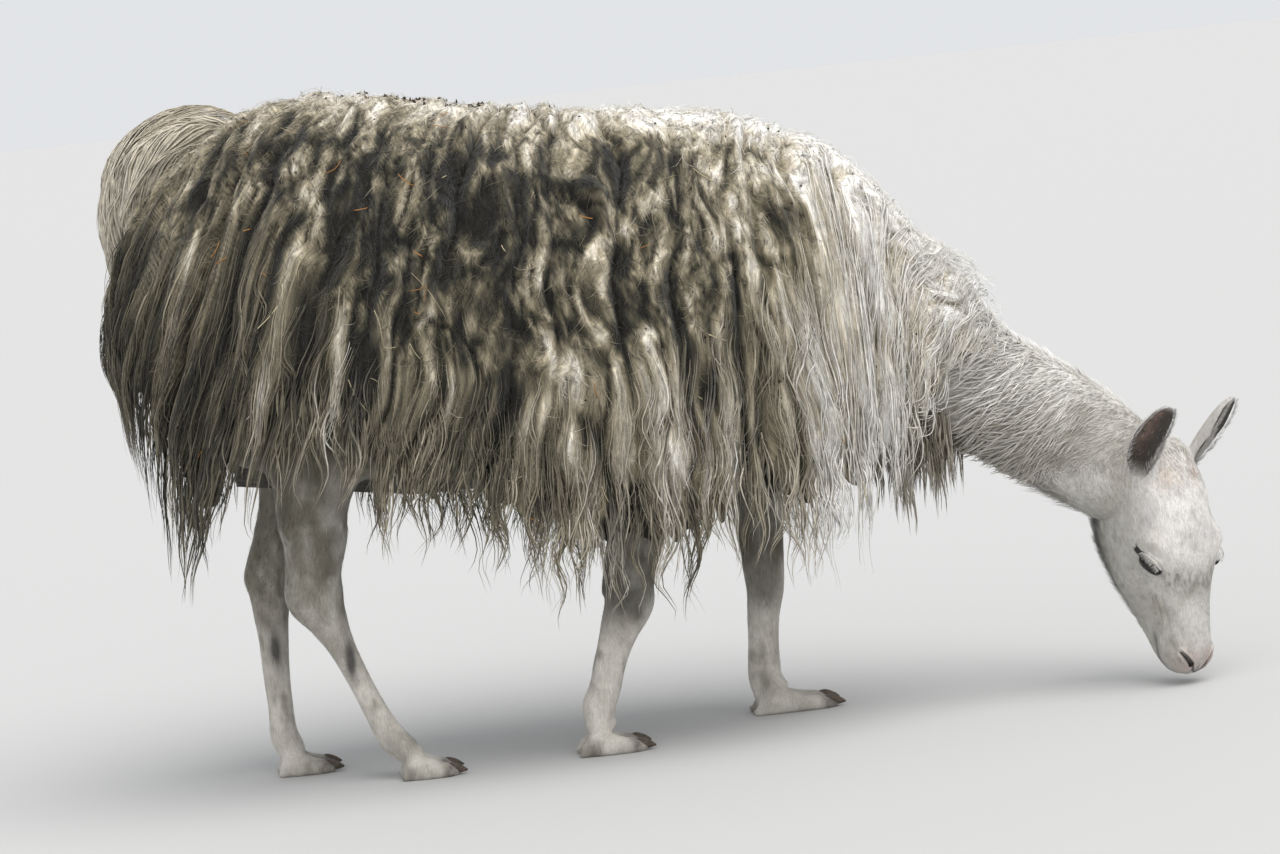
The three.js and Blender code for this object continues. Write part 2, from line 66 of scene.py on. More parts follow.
# %% Camera
CAMERA_AZIMUTH, CAMERA_ELEVATION, CAMERA_ROLL = np.radians([-8.0, 6.0, -6.0])
CAMERA_DISTANCE = 7.0
CAMERA_TARGET = np.array([-0.0702, 0.0, 0.539])
PIXELS_PER_METRE = 580.0  # of the whole frame's 1280, at the target
FRAME_WIDTH = 1280
SENSOR = 36.0


def make_camera():
    """Sets the camera by its right, its up and its back, which look at the target."""
    flat = math.cos(CAMERA_ELEVATION)
    back = np.array(
        [math.sin(CAMERA_AZIMUTH) * flat, -math.cos(CAMERA_AZIMUTH) * flat, math.sin(CAMERA_ELEVATION)]
    )
    right = np.cross(-back, [0, 0, 1])
    right /= np.linalg.norm(right)
    up = np.cross(right, -back)
    rolled_right = math.cos(CAMERA_ROLL) * right + math.sin(CAMERA_ROLL) * up
    rolled_up = -math.sin(CAMERA_ROLL) * right + math.cos(CAMERA_ROLL) * up
    lens = bpy.data.cameras.new("camera")
    lens.sensor_width = SENSOR
    lens.lens = PIXELS_PER_METRE * CAMERA_DISTANCE * SENSOR / FRAME_WIDTH
    lens.clip_end = 60
    camera = bpy.data.objects.new("camera", lens)
    bpy.context.scene.collection.objects.link(camera)
    turn = np.eye(4)
    turn[:3, 0], turn[:3, 1], turn[:3, 2] = rolled_right, rolled_up, back
    turn[:3, 3] = CAMERA_TARGET + CAMERA_DISTANCE * back
    camera.matrix_world = Matrix(turn.tolist())
    bpy.context.scene.camera = camera
    return camera


camera = make_camera()
print("camera at", [round(v, 3) for v in camera.location], "lens", round(camera.data.lens, 1))

# %% [markdown]
# ## Helpers
# Everything here is a table of numbers: smooth curves through a few measured stations give rings,
# rings give closed meshes, and fibres are swept along paths with all of them worked out at once.


# %% Curves, noise and meshes
def through(knots, t, column=1):
    """The value at t of a smooth curve through knots [[t, value, value...], ...]."""
    table, t = np.asarray(knots, float), np.asarray(t, float)
    x, y = table[:, 0], table[:, column]
    i = np.clip(np.searchsorted(x, t, side="left") - 1, 0, len(x) - 2)
    low, high = np.maximum(np.arange(len(x)) - 1, 0), np.minimum(np.arange(len(x)) + 1, len(x) - 1)
    slope = (y[high] - y[low]) / (x[high] - x[low])
    span = x[i + 1] - x[i]
    u = np.clip((t - x[i]) / span, 0, 1)
    cube = 2 * (y[i] - y[i + 1]) + (slope[i] + slope[i + 1]) * span
    square = 3 * (y[i + 1] - y[i]) - (2 * slope[i] + slope[i + 1]) * span
    return ((cube * u + square) * u + slope[i] * span) * u + y[i]


def places(knots, t):
    """Columns 1 to 3 of the same curve, as points."""
    return np.stack([through(knots, t, column) for column in (1, 2, 3)], -1)


def ease(x, start, end):
    """0 before start, 1 after end, smooth between. Start may be above end."""
    t = np.clip((np.asarray(x, float) - start) / (end - start), 0, 1)
    return t * t * (3 - 2 * t)


def unit(v):
    v = np.asarray(v, float)
    return v / np.maximum(np.linalg.norm(v, axis=-1, keepdims=True), 1e-9)


def lattice_value(cells, seed):
    """A steady pseudo-random value from 0 to 1 for each cell of whole numbers."""
    with np.errstate(over="ignore"):  # the products are meant to wrap round
        h = (cells[..., 0] * 73856093) ^ (cells[..., 1] * 19349663) ^ (cells[..., 2] * 83492791)
        h = (h ^ (seed * 2654435761)) & 0xFFFFFFFF
        h = ((h ^ (h >> 15)) * 2246822519) & 0xFFFFFFFF
        h = ((h ^ (h >> 13)) * 3266489917) & 0xFFFFFFFF
    return ((h ^ (h >> 16)) & 0xFFFFFF) / 0xFFFFFF


def noise(points, size, seed=0, octaves=1):
    """Smooth noise from -1 to 1. Size is one number or one for each axis."""
    total, weight, share = 0.0, 0.0, 1.0
    scaled = np.asarray(points, float) / np.asarray(size, float)
    for octave in range(octaves):
        base = np.floor(scaled)
        part = scaled - base
        part = part * part * (3 - 2 * part)
        cells = base.astype(np.int64)
        value = 0.0
        for corner in np.ndindex(2, 2, 2):
            side = np.array(corner)
            near = np.prod(np.where(side == 1, part, 1 - part), axis=-1)
            value = value + near * lattice_value(cells + side, seed + octave * 17)
        total, weight = total + share * (value * 2 - 1), weight + share
        scaled, share = scaled * 2.03 + 11.7, share * 0.5
    return total / weight * 1.6


print("noise", noise([[1.0, 2.0, 3.0]], 10).round(3))

# %% Meshes and what they store
def ring_faces(rings, sides):
    """Quads between closed rings, and a fan on each end whose middle points come last."""
    j = np.arange(sides)
    nxt = (j + 1) % sides
    i = np.arange(rings - 1)[:, None] * sides
    quads = np.stack([i + j, i + nxt, i + sides + nxt, i + sides + j], -1).reshape(-1, 4)
    last = (rings - 1) * sides
    start, end = rings * sides, rings * sides + 1
    fans = [[start, b, a] for a, b in zip(j, nxt)] + [[end, last + a, last + b] for a, b in zip(j, nxt)]
    return quads.tolist() + fans


def loft(rings):
    """Points and faces of a closed form through rings, an array (rings, sides, 3)."""
    rings = np.asarray(rings, float)
    points = np.concatenate([rings.reshape(-1, 3), [rings[0].mean(0), rings[-1].mean(0)]])
    return points, ring_faces(*rings.shape[:2])


def mesh_of(name, points, faces):
    mesh = bpy.data.meshes.new(name)
    mesh.from_pydata(to_row(points).tolist(), [], faces)
    mesh.update()
    return mesh


def outward(mesh):
    """Turns a closed mesh the right way out."""
    shape = bmesh.new()
    shape.from_mesh(mesh)
    bmesh.ops.recalc_face_normals(shape, faces=shape.faces)
    if shape.calc_volume(signed=True) < 0:
        bmesh.ops.reverse_faces(shape, faces=shape.faces)
    shape.to_mesh(mesh)
    shape.free()
    return mesh


def add_object(name, mesh, smooth=True):
    piece = bpy.data.objects.new(name, mesh)
    bpy.context.scene.collection.objects.link(piece)
    mesh.polygons.foreach_set("use_smooth", np.full(len(mesh.polygons), smooth))
    return piece


def points_of(mesh):
    """A mesh's points in millimetres, in the frame of making."""
    flat = np.empty(len(mesh.vertices) * 3, np.float32)
    mesh.vertices.foreach_get("co", flat)
    return flat.reshape(-1, 3) / MM - ROW_SHIFT


def paint(mesh, values):
    """Stores a colour for each point, as an attribute that the materials read."""
    colours = np.ones((len(mesh.vertices), 4), np.float32)
    colours[:, :3] = np.clip(values, 0, 1)
    layer = mesh.attributes.get("tint") or mesh.attributes.new("tint", "FLOAT_COLOR", "POINT")
    layer.data.foreach_set("color", colours.ravel())


def put(mesh, name, values):
    """Stores one number, or one vector, for each point."""
    values = np.asarray(values, np.float32)
    kind, key = ("FLOAT_VECTOR", "vector") if values.ndim == 2 else ("FLOAT", "value")
    layer = mesh.attributes.get(name) or mesh.attributes.new(name, kind, "POINT")
    layer.data.foreach_set(key, values.ravel())


def store_unwrap(mesh, places):
    """Stores the baking map, as one place for each corner of each face."""
    mesh.uv_layers.new(name="OFBake").uv.foreach_set("vector", places.astype(np.float32).ravel())


# %% [markdown]
# ## The form under the coat
# The trunk, neck, head, legs, tail and ears are the same measured forms as the solids, but finer.
# Each lies inside its solid by the depth of the coat that grows there: a few centimetres under
# the fleece and a few millimetres on the face and the legs. They are joined into one skin.

# %% Trunk, neck and tail forms
TRUNK_STATIONS = [  # x, top, underside, half width
    [-880, 770, 730, 30], [-862, 885, 640, 120], [-815, 985, 560, 190], [-740, 1076, 505, 240],
    [-631, 1142, 480, 275], [-518, 1160, 465, 292], [-400, 1152, 450, 300], [-266, 1128, 435, 302],
    [-80, 1098, 425, 300], [75, 1080, 420, 294], [195, 1060, 420, 282], [296, 1024, 425, 256],
    [380, 978, 432, 218], [445, 918, 446, 176], [492, 858, 478, 132], [522, 780, 540, 84],
    [532, 700, 610, 30],
]
TRUNK_WIDEST_AT = 0.4
NECK = [  # x, y, z, reach ahead, behind and aside
    [395, 0, 725, 150, 190, 128], [495, -4, 628, 168, 168, 114], [588, -14, 549, 134, 130, 98],
    [672, -34, 487, 122, 116, 88], [755, -58, 422, 115, 112, 84], [825, -78, 360, 100, 98, 78],
    [852, -86, 330, 78, 82, 66],
]
TAIL = [
    [-600, 0, 1080, 40, 40, 38], [-668, 8, 1120, 46, 46, 42], [-738, 20, 1116, 54, 54, 49],
    [-796, 28, 1076, 56, 56, 50], [-826, 30, 1018, 48, 48, 41], [-836, 30, 968, 30, 30, 24],
    [-836, 30, 936, 9, 9, 8],
]


def section(turn, up, down, side, squareness):
    """A rounded section: turn runs from the top, and a squareness over 2 fills the corners."""
    c, s = np.cos(turn), np.sin(turn)
    high = np.sign(c) * np.abs(c) ** (2 / squareness) * np.where(c > 0, up, down)
    wide = np.sign(s) * np.abs(s) ** (2 / squareness) * side
    return high, wide


def drawn_to_ends(count, share):
    """Shares from 0 to 1 that crowd towards both ends."""
    even = np.linspace(0, 1, count)
    return even - np.sin(2 * np.pi * even) / (2 * np.pi) * share


def trunk_rings(inset, rings=70, sides=64):
    x = TRUNK_STATIONS[0][0] + (TRUNK_STATIONS[-1][0] - TRUNK_STATIONS[0][0]) * drawn_to_ends(rings, 0.7)
    top, under, half = [through(TRUNK_STATIONS, x, c)[:, None] for c in (1, 2, 3)]
    widest = under + (top - under) * TRUNK_WIDEST_AT
    turn = np.linspace(0, 2 * np.pi, sides, endpoint=False)[None]
    squareness = np.where(np.cos(turn) > 0, 2.15, 2.7)
    high, wide = section(turn, top - widest, widest - under, half, squareness)
    middle = (x[0] + x[-1]) / 2
    shrink = 1 - inset / np.maximum(np.hypot(high, wide), inset * 1.3)
    x_in = middle + (x - middle) * (1 - 2 * inset / (x[-1] - x[0]))
    return np.stack([np.repeat(x_in[:, None], sides, 1), wide * shrink, widest + high * shrink], -1)


def limb(stations, front, rings, sides, inset=0.0, forms=(), squareness=2.0):
    """Rings round a spine. Forms are swellings: station, reach, degrees from front, reach, height."""
    knots = np.column_stack([np.arange(len(stations)), np.asarray(stations, float)])
    last = len(stations) - 1
    t = np.linspace(0, last, rings)
    middle = places(knots, t)
    along = unit(places(knots, np.minimum(t + 0.05, last)) - places(knots, np.maximum(t - 0.05, 0)))
    ahead = unit(np.asarray(front, float) - along * (along @ np.asarray(front, float))[:, None])
    across = np.cross(along, ahead)
    inset = np.broadcast_to(inset, t.shape)[:, None]
    reach = [through(knots, t, c)[:, None] - inset for c in (4, 5, 6)]
    turn = np.linspace(0, 2 * np.pi, sides, endpoint=False)[None]
    high, wide = section(turn, *reach, squareness)
    swell = np.zeros((rings, sides))
    for at, span, degrees, width, height in forms:
        away = (np.degrees(turn) - degrees + 180) % 360 - 180
        swell += height * np.exp(-(((t[:, None] - at) / span) ** 2) - (away / width) ** 2)
    grow = 1 + swell / np.maximum(np.hypot(high, wide), 1)
    high, wide = (high * grow)[..., None], (wide * grow)[..., None]
    return middle[:, None] + ahead[:, None] * high + across[:, None] * wide


NECK_FRONT = unit([0.4, 0, 1])
neck_inset = np.interp(np.linspace(0, 1, 60), [0, 0.3, 0.55, 1], [45, 30, 13, 7])
neck_form = limb(NECK, NECK_FRONT, 60, 72, neck_inset)
tail_form = limb(TAIL, [0, 1, 0], 40, 24, np.interp(np.linspace(0, 1, 40), [0, 0.3, 0.8, 1], [14, 24, 26, 7]))
trunk_form = trunk_rings(52)
print("trunk", trunk_form.shape, "neck", neck_form.shape)

# %% [markdown]
# ## Legs and feet
# A llama's cannon is thin and has a cord of tendon behind it, with a hollow on each side. The hock
# has a point at the back and the knee is full in front. Each foot is two soft toes, flat below.

# %% Leg and foot forms
LEGS = {  # x, y, z, reach ahead, behind and aside
    "hind_right": [
        [-552, -128, 640, 105, 105, 70], [-584, -114, 486, 66, 68, 58], [-585, -110, 425, 57, 58, 49],
        [-590, -106, 370, 49, 53, 41], [-588, -102, 322, 47, 52, 36], [-574, -99, 280, 36, 38, 31],
        [-557, -98, 238, 26, 29, 27], [-535, -96, 180, 23, 25, 24], [-514, -94, 125, 24, 25, 25],
        [-494, -93, 84, 26, 28, 30], [-470, -92, 50, 27, 29, 33], [-446, -92, 28, 22, 26, 32],
    ],
    "hind_left": [
        [-560, 128, 640, 105, 105, 70], [-610, 116, 480, 62, 56, 58], [-638, 112, 410, 48, 44, 47],
        [-652, 107, 367, 46, 45, 40], [-657, 103, 330, 41, 42, 36], [-661, 100, 286, 35, 36, 31],
        [-662, 98, 240, 30, 31, 27], [-664, 95, 180, 27, 28, 24], [-664, 93, 120, 26, 26, 25],
        [-663, 92, 78, 27, 27, 30], [-655, 92, 46, 29, 30, 33], [-640, 92, 27, 24, 28, 32],
    ],
    "fore_right": [
        [25, -118, 580, 76, 80, 60], [-30, -110, 400, 54, 54, 48], [-58, -107, 300, 46, 46, 40],
        [-66, -106, 255, 44, 45, 38], [-84, -102, 212, 37, 39, 34], [-97, -99, 180, 33, 34, 29],
        [-109, -96, 146, 31, 33, 27], [-118, -94, 115, 31, 32, 28], [-130, -92, 84, 31, 32, 31],
        [-134, -91, 56, 31, 33, 35], [-124, -90, 34, 30, 36, 36],
    ],
    "fore_left": [
        [190, 118, 580, 76, 80, 60], [206, 112, 400, 54, 54, 48], [212, 108, 290, 39, 41, 38],
        [206, 104, 225, 35, 36, 35], [198, 101, 172, 32, 33, 29], [193, 98, 122, 31, 32, 27],
        [191, 96, 90, 32, 34, 30], [190, 93, 62, 33, 35, 34], [200, 91, 40, 34, 40, 36],
        [215, 90, 26, 30, 40, 35],
    ],
}
FEET = {  # heel x, toe tip x, middle y
    "hind_right": (-482, -388, -92), "hind_left": (-680, -584, 92),
    "fore_right": (-176, -62, -90), "fore_left": (160, 306, 90),
}
HIND_FORMS = [
    (3.7, 0.6, 180, 34, 7), (2.5, 0.8, 122, 26, -6), (2.5, 0.8, -122, 26, -6), (4.4, 0.5, 70, 24, 3),
    (4.4, 0.5, -70, 24, 3), (6.9, 1.7, 118, 20, -3), (6.9, 1.7, -118, 20, -3), (9.2, 0.6, 180, 50, 3),
    (1.4, 0.8, 0, 40, 5),
]
FORE_FORMS = [
    (3.1, 0.8, 0, 50, 4), (2.5, 0.5, 180, 32, 5), (3.6, 0.7, 90, 26, 2), (3.6, 0.7, -90, 26, 2),
    (5.7, 1.4, 118, 20, -3), (5.7, 1.4, -118, 20, -3), (8.0, 0.6, 180, 50, 3), (1.6, 0.8, 180, 40, 5),
]
TOE_SPREAD, TOE_SPLAY, SOLE_DEPTH = 21, 7, 6
TOE_SECTIONS = [[0, 14, 10], [0.3, 42, 20], [0.62, 30, 20], [0.88, 22, 17], [1, 12, 8]]
NAIL_LENGTH, NAIL_OVERLAP, NAIL_LEVEL = 36, 0.55, (16, 7)
NAIL_SECTIONS = [[0, 13, 8], [0.3, 19, 10], [0.7, 14, 7], [1, 4, 2]]
LEG_COAT, FOOT_COAT, FACE_COAT = 4.5, 1.5, 2.5  # how far the skin lies inside the solids


def along_toe(foot, side, start, length, sections, level):
    heel, tip, y = FEET[foot]
    made = []
    for share, high, wide in sections:
        x = start + length * share
        out = y + side * (TOE_SPREAD + TOE_SPLAY * (x - heel) / (tip - heel))
        made.append([x, out, level(share, high), high / 2, high / 2, wide])
    return made


def toe_form(foot, side):
    heel, tip, _ = FEET[foot]
    grown = [[share, high + SOLE_DEPTH, wide] for share, high, wide in TOE_SECTIONS]
    stations = along_toe(foot, side, heel, tip - heel, grown, lambda share, high: high / 2 - SOLE_DEPTH)
    return limb(stations, [0, 0, 1], 26, 28, FOOT_COAT, squareness=2.4)


body_forms = [trunk_form, neck_form, tail_form]
for foot, stations in LEGS.items():
    forms = HIND_FORMS if foot.startswith("hind") else FORE_FORMS
    body_forms.append(limb(stations, [1, 0, 0], 110, 40, LEG_COAT, forms))
    body_forms += [toe_form(foot, side) for side in (-1, 1)]
print("forms", len(body_forms))

# %% [markdown]
# ## Head and ears
# The head is long and wedge shaped: a high brow over each eye, a hollow in front of it, a full jaw,
# and a narrow muzzle with slit nostrils and a split lip. It is worked in a frame of its own, X from
# poll to nose and Z up from the forehead. Its rings crowd together at the eyes and the muzzle, so
# that the eyelids, nostrils and lips are real folds.

# %% Head form
HEAD_AT = np.array([869, -92, 374.0])
HEAD_TURN, HEAD_PITCH, HEAD_TILT = 73, 78, -12
HEAD_STATIONS = [  # x, forehead or bridge, jaw, half width
    [-46, 31, 66, 43], [-34, 56, 98, 64], [-6, 72, 122, 74], [40, 81, 145, 78], [90, 85, 152, 78],
    [135, 83, 146, 80], [180, 74, 131, 76], [215, 63, 117, 66], [250, 52, 101, 56],
    [285, 45, 85, 49], [318, 38, 68, 45], [342, 30, 50, 39], [358, 17, 30, 27], [364, 5, 10, 9],
]
HEAD_SQUARENESS, JAW_NARROWING = 2.25, 0.24
HEAD_FORMS = [  # x, degrees round from the forehead, reach along, reach round, height
    (146, 60, 34, 20, 20), (170, 80, 21, 13, -5), (195, 116, 40, 14, 5), (88, 120, 50, 26, 8),
    (250, 95, 30, 22, -5), (335, 52, 15, 16, 5), (328, 112, 22, 22, 4), (112, 0, 44, 30, 5),
    (60, 62, 46, 26, 6), (314, 180, 20, 34, 5),
    (252, 74, 26, 4.5, -2.6), (226, 100, 26, 9, 3), (300, 82, 22, 9, -2), (205, 40, 30, 14, -2.5),
    (300, 30, 34, 14, 1.5), (118, 24, 22, 8, 1.5), (352, 130, 10, 30, 2),
]
MOUTH_LINE = [[255, 122], [290, 124], [320, 128], [345, 140], [358, 160], [364, 172]]  # x, degrees round
NOSTRIL = (326, 44, 350, 19)  # a slit, as x and millimetres round from the forehead, twice
BELOW_NOSTRIL, CHEEK_CREASE = (350, 18, 363, 9), (222, 92, 270, 84)
EYE_RADIUS, EYE_HALF = 22, 25.0
EYE_AT = np.array([166, 66, 27.0])
EYE_INNER, EYE_OUTER = np.array([186, 68, 41.0]), np.array([139, 86, 15.0])  # corners of the left eye
EYE_OUT = np.array([-0.1, 0.93, 0.35])
LID_THICK = 2.2
CORNEA_RISE = 2.0


def head_axes():
    turn, pitch, tilt = np.radians([HEAD_TURN, HEAD_PITCH, HEAD_TILT])
    facing, up = np.array([math.cos(turn), -math.sin(turn), 0]), np.array([0, 0, 1.0])
    nose = facing * math.cos(pitch) - up * math.sin(pitch)
    crown = facing * math.sin(pitch) + up * math.cos(pitch)
    crown = crown * math.cos(tilt) + np.cross(nose, crown) * math.sin(tilt)
    return np.stack([nose, np.cross(crown, nose), crown])


HEAD_AXES = head_axes()
from_head = lambda p: np.asarray(p) @ HEAD_AXES + HEAD_AT
into_head = lambda p: (np.asarray(p) - HEAD_AT) @ HEAD_AXES.T


def crowded(low, high, count, crowds):
    """Values from low to high, closer together round each (middle, reach, strength)."""
    fine = np.linspace(low, high, 2000)
    density = 1 + sum(strength * np.exp(-(((fine - at) / reach) ** 2)) for at, reach, strength in crowds)
    total = np.cumsum(density)
    return np.interp(np.linspace(total[0], total[-1], count), total, fine)


def eye_axes(side):
    """Out of the eye, along its slit towards the nose, and across it towards the brow."""
    mirror = np.array([1, side, 1])
    out = unit(EYE_OUT * mirror)
    along = (EYE_INNER - EYE_OUTER) * mirror
    along = unit(along - out * (along @ out))
    return out, along, np.cross(along, out) * side


def eye_opening(along, across):
    """Above 0 inside the almond between the lids, in millimetres from its edge."""
    upper, lower = eye_rims(along)
    return np.minimum(upper - across, across - lower)


def eye_rims(along):
    """Where the upper and the lower lid end, across the eye: a flat upper rim and a bowed lower one."""
    arch = np.maximum(1 - (along / EYE_HALF) ** 2, 0)
    return -1.0 + 8.0 * arch ** 0.9, -1.0 - 3.2 * arch ** 0.8


def by_eye(local, side):
    """Distances out of an eye, across it and inside its opening, and from its middle."""
    out, along, across = eye_axes(side)
    away = local - EYE_AT * [1, side, 1]
    return away @ out, away @ across, eye_opening(away @ along, away @ across), np.linalg.norm(away, axis=-1)


def to_segment(px, py, ax, ay, bx, by):
    """Distance from a segment, and the share of the way along it."""
    t = np.clip(((px - ax) * (bx - ax) + (py - ay) * (by - ay)) / ((bx - ax) ** 2 + (by - ay) ** 2), 0, 1)
    return np.hypot(px - ax - t * (bx - ax), py - ay - t * (by - ay)), t


print("eye from", EYE_OUTER, "to", EYE_INNER)

# %% Rings of the head
def head_form():
    """Rings from poll to nose, with the lips, nostrils, folds and eyelids raised and sunk."""
    x = crowded(-46, 364, 200, [(166, 26, 2.0), (340, 24, 1.8), (364, 5, 3), (-46, 8, 2)])
    half_turn = crowded(0, 180, 104, [(70, 20, 1.8), (44, 14, 0.8)])
    turn = np.radians(np.concatenate([half_turn[:-1], 360 - half_turn[:0:-1]]))
    degrees = np.degrees(np.minimum(turn, 2 * np.pi - turn))[None]
    reach = [through(HEAD_STATIONS, x, c)[:, None] for c in (1, 2, 3)]
    high, wide = section(turn[None], *reach, HEAD_SQUARENESS)
    size = np.hypot(high, wide)
    along = x[:, None]
    swell = np.zeros((len(x), len(turn)))
    for at, angle, span, width, height in HEAD_FORMS:
        swell += height * np.exp(-(((along - at) / span) ** 2) - ((degrees - angle) / width) ** 2)
    arc = np.radians(degrees) * np.maximum(size, 18)
    mouth = through(MOUTH_LINE, x)[:, None]
    off = (degrees - mouth) * np.radians(size)
    lips = ease(along, 258, 285)
    swell += lips * (-3.6 * np.exp(-((off / 1.8) ** 2)) + 2.2 * np.exp(-(((off + 7) / 5) ** 2))
                     + 1.6 * np.exp(-(((off - 7) / 5) ** 2)))
    split = np.abs(wide)
    swell -= 3.2 * np.exp(-((split / 1.8) ** 2)) * ease(along, 346, 356)
    slit, share = to_segment(along, arc, *NOSTRIL)
    opening = 1.2 + 2.6 * share
    swell -= 8.5 * np.exp(-((slit / opening) ** 4))
    swell += 2.2 * np.exp(-(((slit - 6.5) / 3.2) ** 2))
    crease, _ = to_segment(along, arc, *CHEEK_CREASE)
    swell -= 2.6 * np.exp(-((crease / 2.4) ** 2)) - 1.8 * np.exp(-(((crease - 7) / 4) ** 2))
    narrow = np.where(high < 0, 1 - JAW_NARROWING * (high / reach[1]) ** 2, 1)
    grow = 1 + (swell - FACE_COAT) / np.maximum(size, 6)
    points = np.stack([np.repeat(along, len(turn), 1), wide * grow * narrow, high * grow], -1)
    for side in (-1, 1):
        points = with_lids(points, side)
    return points


def with_lids(points, side):
    """The skin near an eye, laid over the eyeball, and sunk behind it between the lids."""
    centre = EYE_AT * [1, side, 1]
    out, along, across = eye_axes(side)
    away = points - centre
    size = np.linalg.norm(away, axis=-1)
    a, b, o = away @ along, away @ across, away @ out
    flat = np.hypot(a * 0.9, b - 2)
    near = (1 - ease(flat, 19, 35)) * (o > -4)
    inside = eye_opening(a, b)
    domed = CORNEA_RISE * (1 - ease(np.arccos(np.clip(o / np.maximum(size, 1e-6), -1, 1)), 0.25, 0.75))
    lid = EYE_RADIUS + LID_THICK + domed + 1.2 * np.exp(-(((inside + 1.6) / 1.8) ** 2))
    lid -= 1.6 * np.exp(-(((inside + 7.5) / 1.6) ** 2)) * (b > -4)
    lid += 1.2 * np.exp(-(((inside + 12) / 4) ** 2)) * (b > -4)
    sunk = EYE_RADIUS - 4.0 * ease(inside, 0, 1.6) + LID_THICK * (1 - ease(inside, 0, 0.9))
    lid = np.where(inside > 0, sunk, lid)
    wanted = size * (1 - near) + lid * near
    return centre + away * (wanted / np.maximum(size, 1e-6))[..., None]


# %% Ear form
EAR_BASE, EAR_AIM = np.array([20, 63, 27.0]), unit([-104, 14, 130])
EAR_FRONT = np.array([0.8, 0.32, 0.5])
EAR_LENGTH, EAR_BOW, EAR_THICK, EAR_ROOT_THICK, EAR_ARC = 167, 14, 5, 5, 176
EAR_SPAN = [[0, 9], [0.08, 17], [0.2, 26], [0.4, 31], [0.66, 31], [0.85, 24], [0.95, 15], [1, 6]]
EAR_CUP = (1.15, 0.75)
EAR_COAT, EAR_RINGS, EAR_ARC_POINTS = 1.2, 44, 26


def ear_axes():
    front = unit(EAR_FRONT - EAR_AIM * (EAR_FRONT @ EAR_AIM))
    return front, np.cross(EAR_AIM, front)


def ear_middle(t):
    """The middle line of the ear at a column of shares of its length."""
    return EAR_BASE + EAR_AIM * EAR_LENGTH * t + np.array([0, EAR_BOW, 0]) * np.sin(np.pi * t)


def ear_measures(t):
    """Half width, depth of the cup and thickness at shares of the ear's length."""
    half = through(EAR_SPAN, t)
    cup = half * (EAR_CUP[0] + (EAR_CUP[1] - EAR_CUP[0]) * t)
    return half, cup, EAR_THICK * (1 - t / 2) + EAR_ROOT_THICK * (1 - t) ** 6


def ear_form(side):
    """Rings from root to tip. Each is a cup: the outer arc, and the inner arc back again."""
    front, across = ear_axes()
    made = []
    for t in drawn_to_ends(EAR_RINGS, 0.4):
        middle = EAR_BASE + EAR_AIM * EAR_LENGTH * t
        middle = middle + [0, EAR_BOW * math.sin(math.pi * t), 0]
        half, cup, thick = ear_measures(t)

        def arc(wide, deep, turn):
            angle = turn * np.radians(EAR_ARC) * np.linspace(-0.5, 0.5, EAR_ARC_POINTS)
            p = middle + across * (np.sin(angle) * wide)[:, None] - front * (np.cos(angle) * deep)[:, None]
            return p * [1, side, 1]

        inner = [max(reach - thick, 0.6) for reach in (half, cup)]
        made.append(np.concatenate([arc(half - EAR_COAT, cup - EAR_COAT, 1), arc(*inner, -1)]))
    return np.array(made)


skull = head_form()
body_forms += [from_head(skull), from_head(ear_form(1)), from_head(ear_form(-1))]
print("skull", skull.shape, "nose tip at", from_head([364, 0, 0]).round(0))

# %% [markdown]
# ## One skin
# The real animal has one hide. The forms overlap, so they are joined by booleans into a single
# closed mesh, and the creases where they meet are relaxed, except on the face, where folds belong.

# %% Join the forms
def join_forms(forms):
    """Lofts the forms and unites them into one closed mesh."""
    parts = []
    for i, rings in enumerate(forms):
        part = add_object(f"form_{i}", outward(mesh_of(f"form_{i}", *loft(rings))))
        parts.append(part)
    whole = parts[0]
    for part in parts[1:]:
        cut = whole.modifiers.new(part.name, "BOOLEAN")
        cut.operation, cut.solver, cut.object = "UNION", "MANIFOLD", part
    mesh = bpy.data.meshes.new_from_object(whole.evaluated_get(bpy.context.evaluated_depsgraph_get()))
    for part in parts:
        bpy.data.objects.remove(part)
    return mesh


def relax(points, edges, weight, rounds):
    """Moves each point towards the middle of its neighbours, by its weight."""
    points = points.copy()
    count = np.bincount(edges.ravel(), minlength=len(points))[:, None]
    for _ in range(rounds):
        total = np.zeros_like(points)
        for axis in range(3):
            total[:, axis] = np.bincount(edges[:, 0], points[edges[:, 1], axis], len(points))
            total[:, axis] += np.bincount(edges[:, 1], points[edges[:, 0], axis], len(points))
        points += (total / np.maximum(count, 1) - points) * weight[:, None]
    return points


def spread(mask, edges, rounds):
    """Lets a mask fade outwards over neighbouring points."""
    value = mask.astype(float)
    for _ in range(rounds):
        grown = value.copy()
        np.maximum.at(grown, edges[:, 0], value[edges[:, 1]] * 0.86)
        np.maximum.at(grown, edges[:, 1], value[edges[:, 0]] * 0.86)
        value = grown
    return value


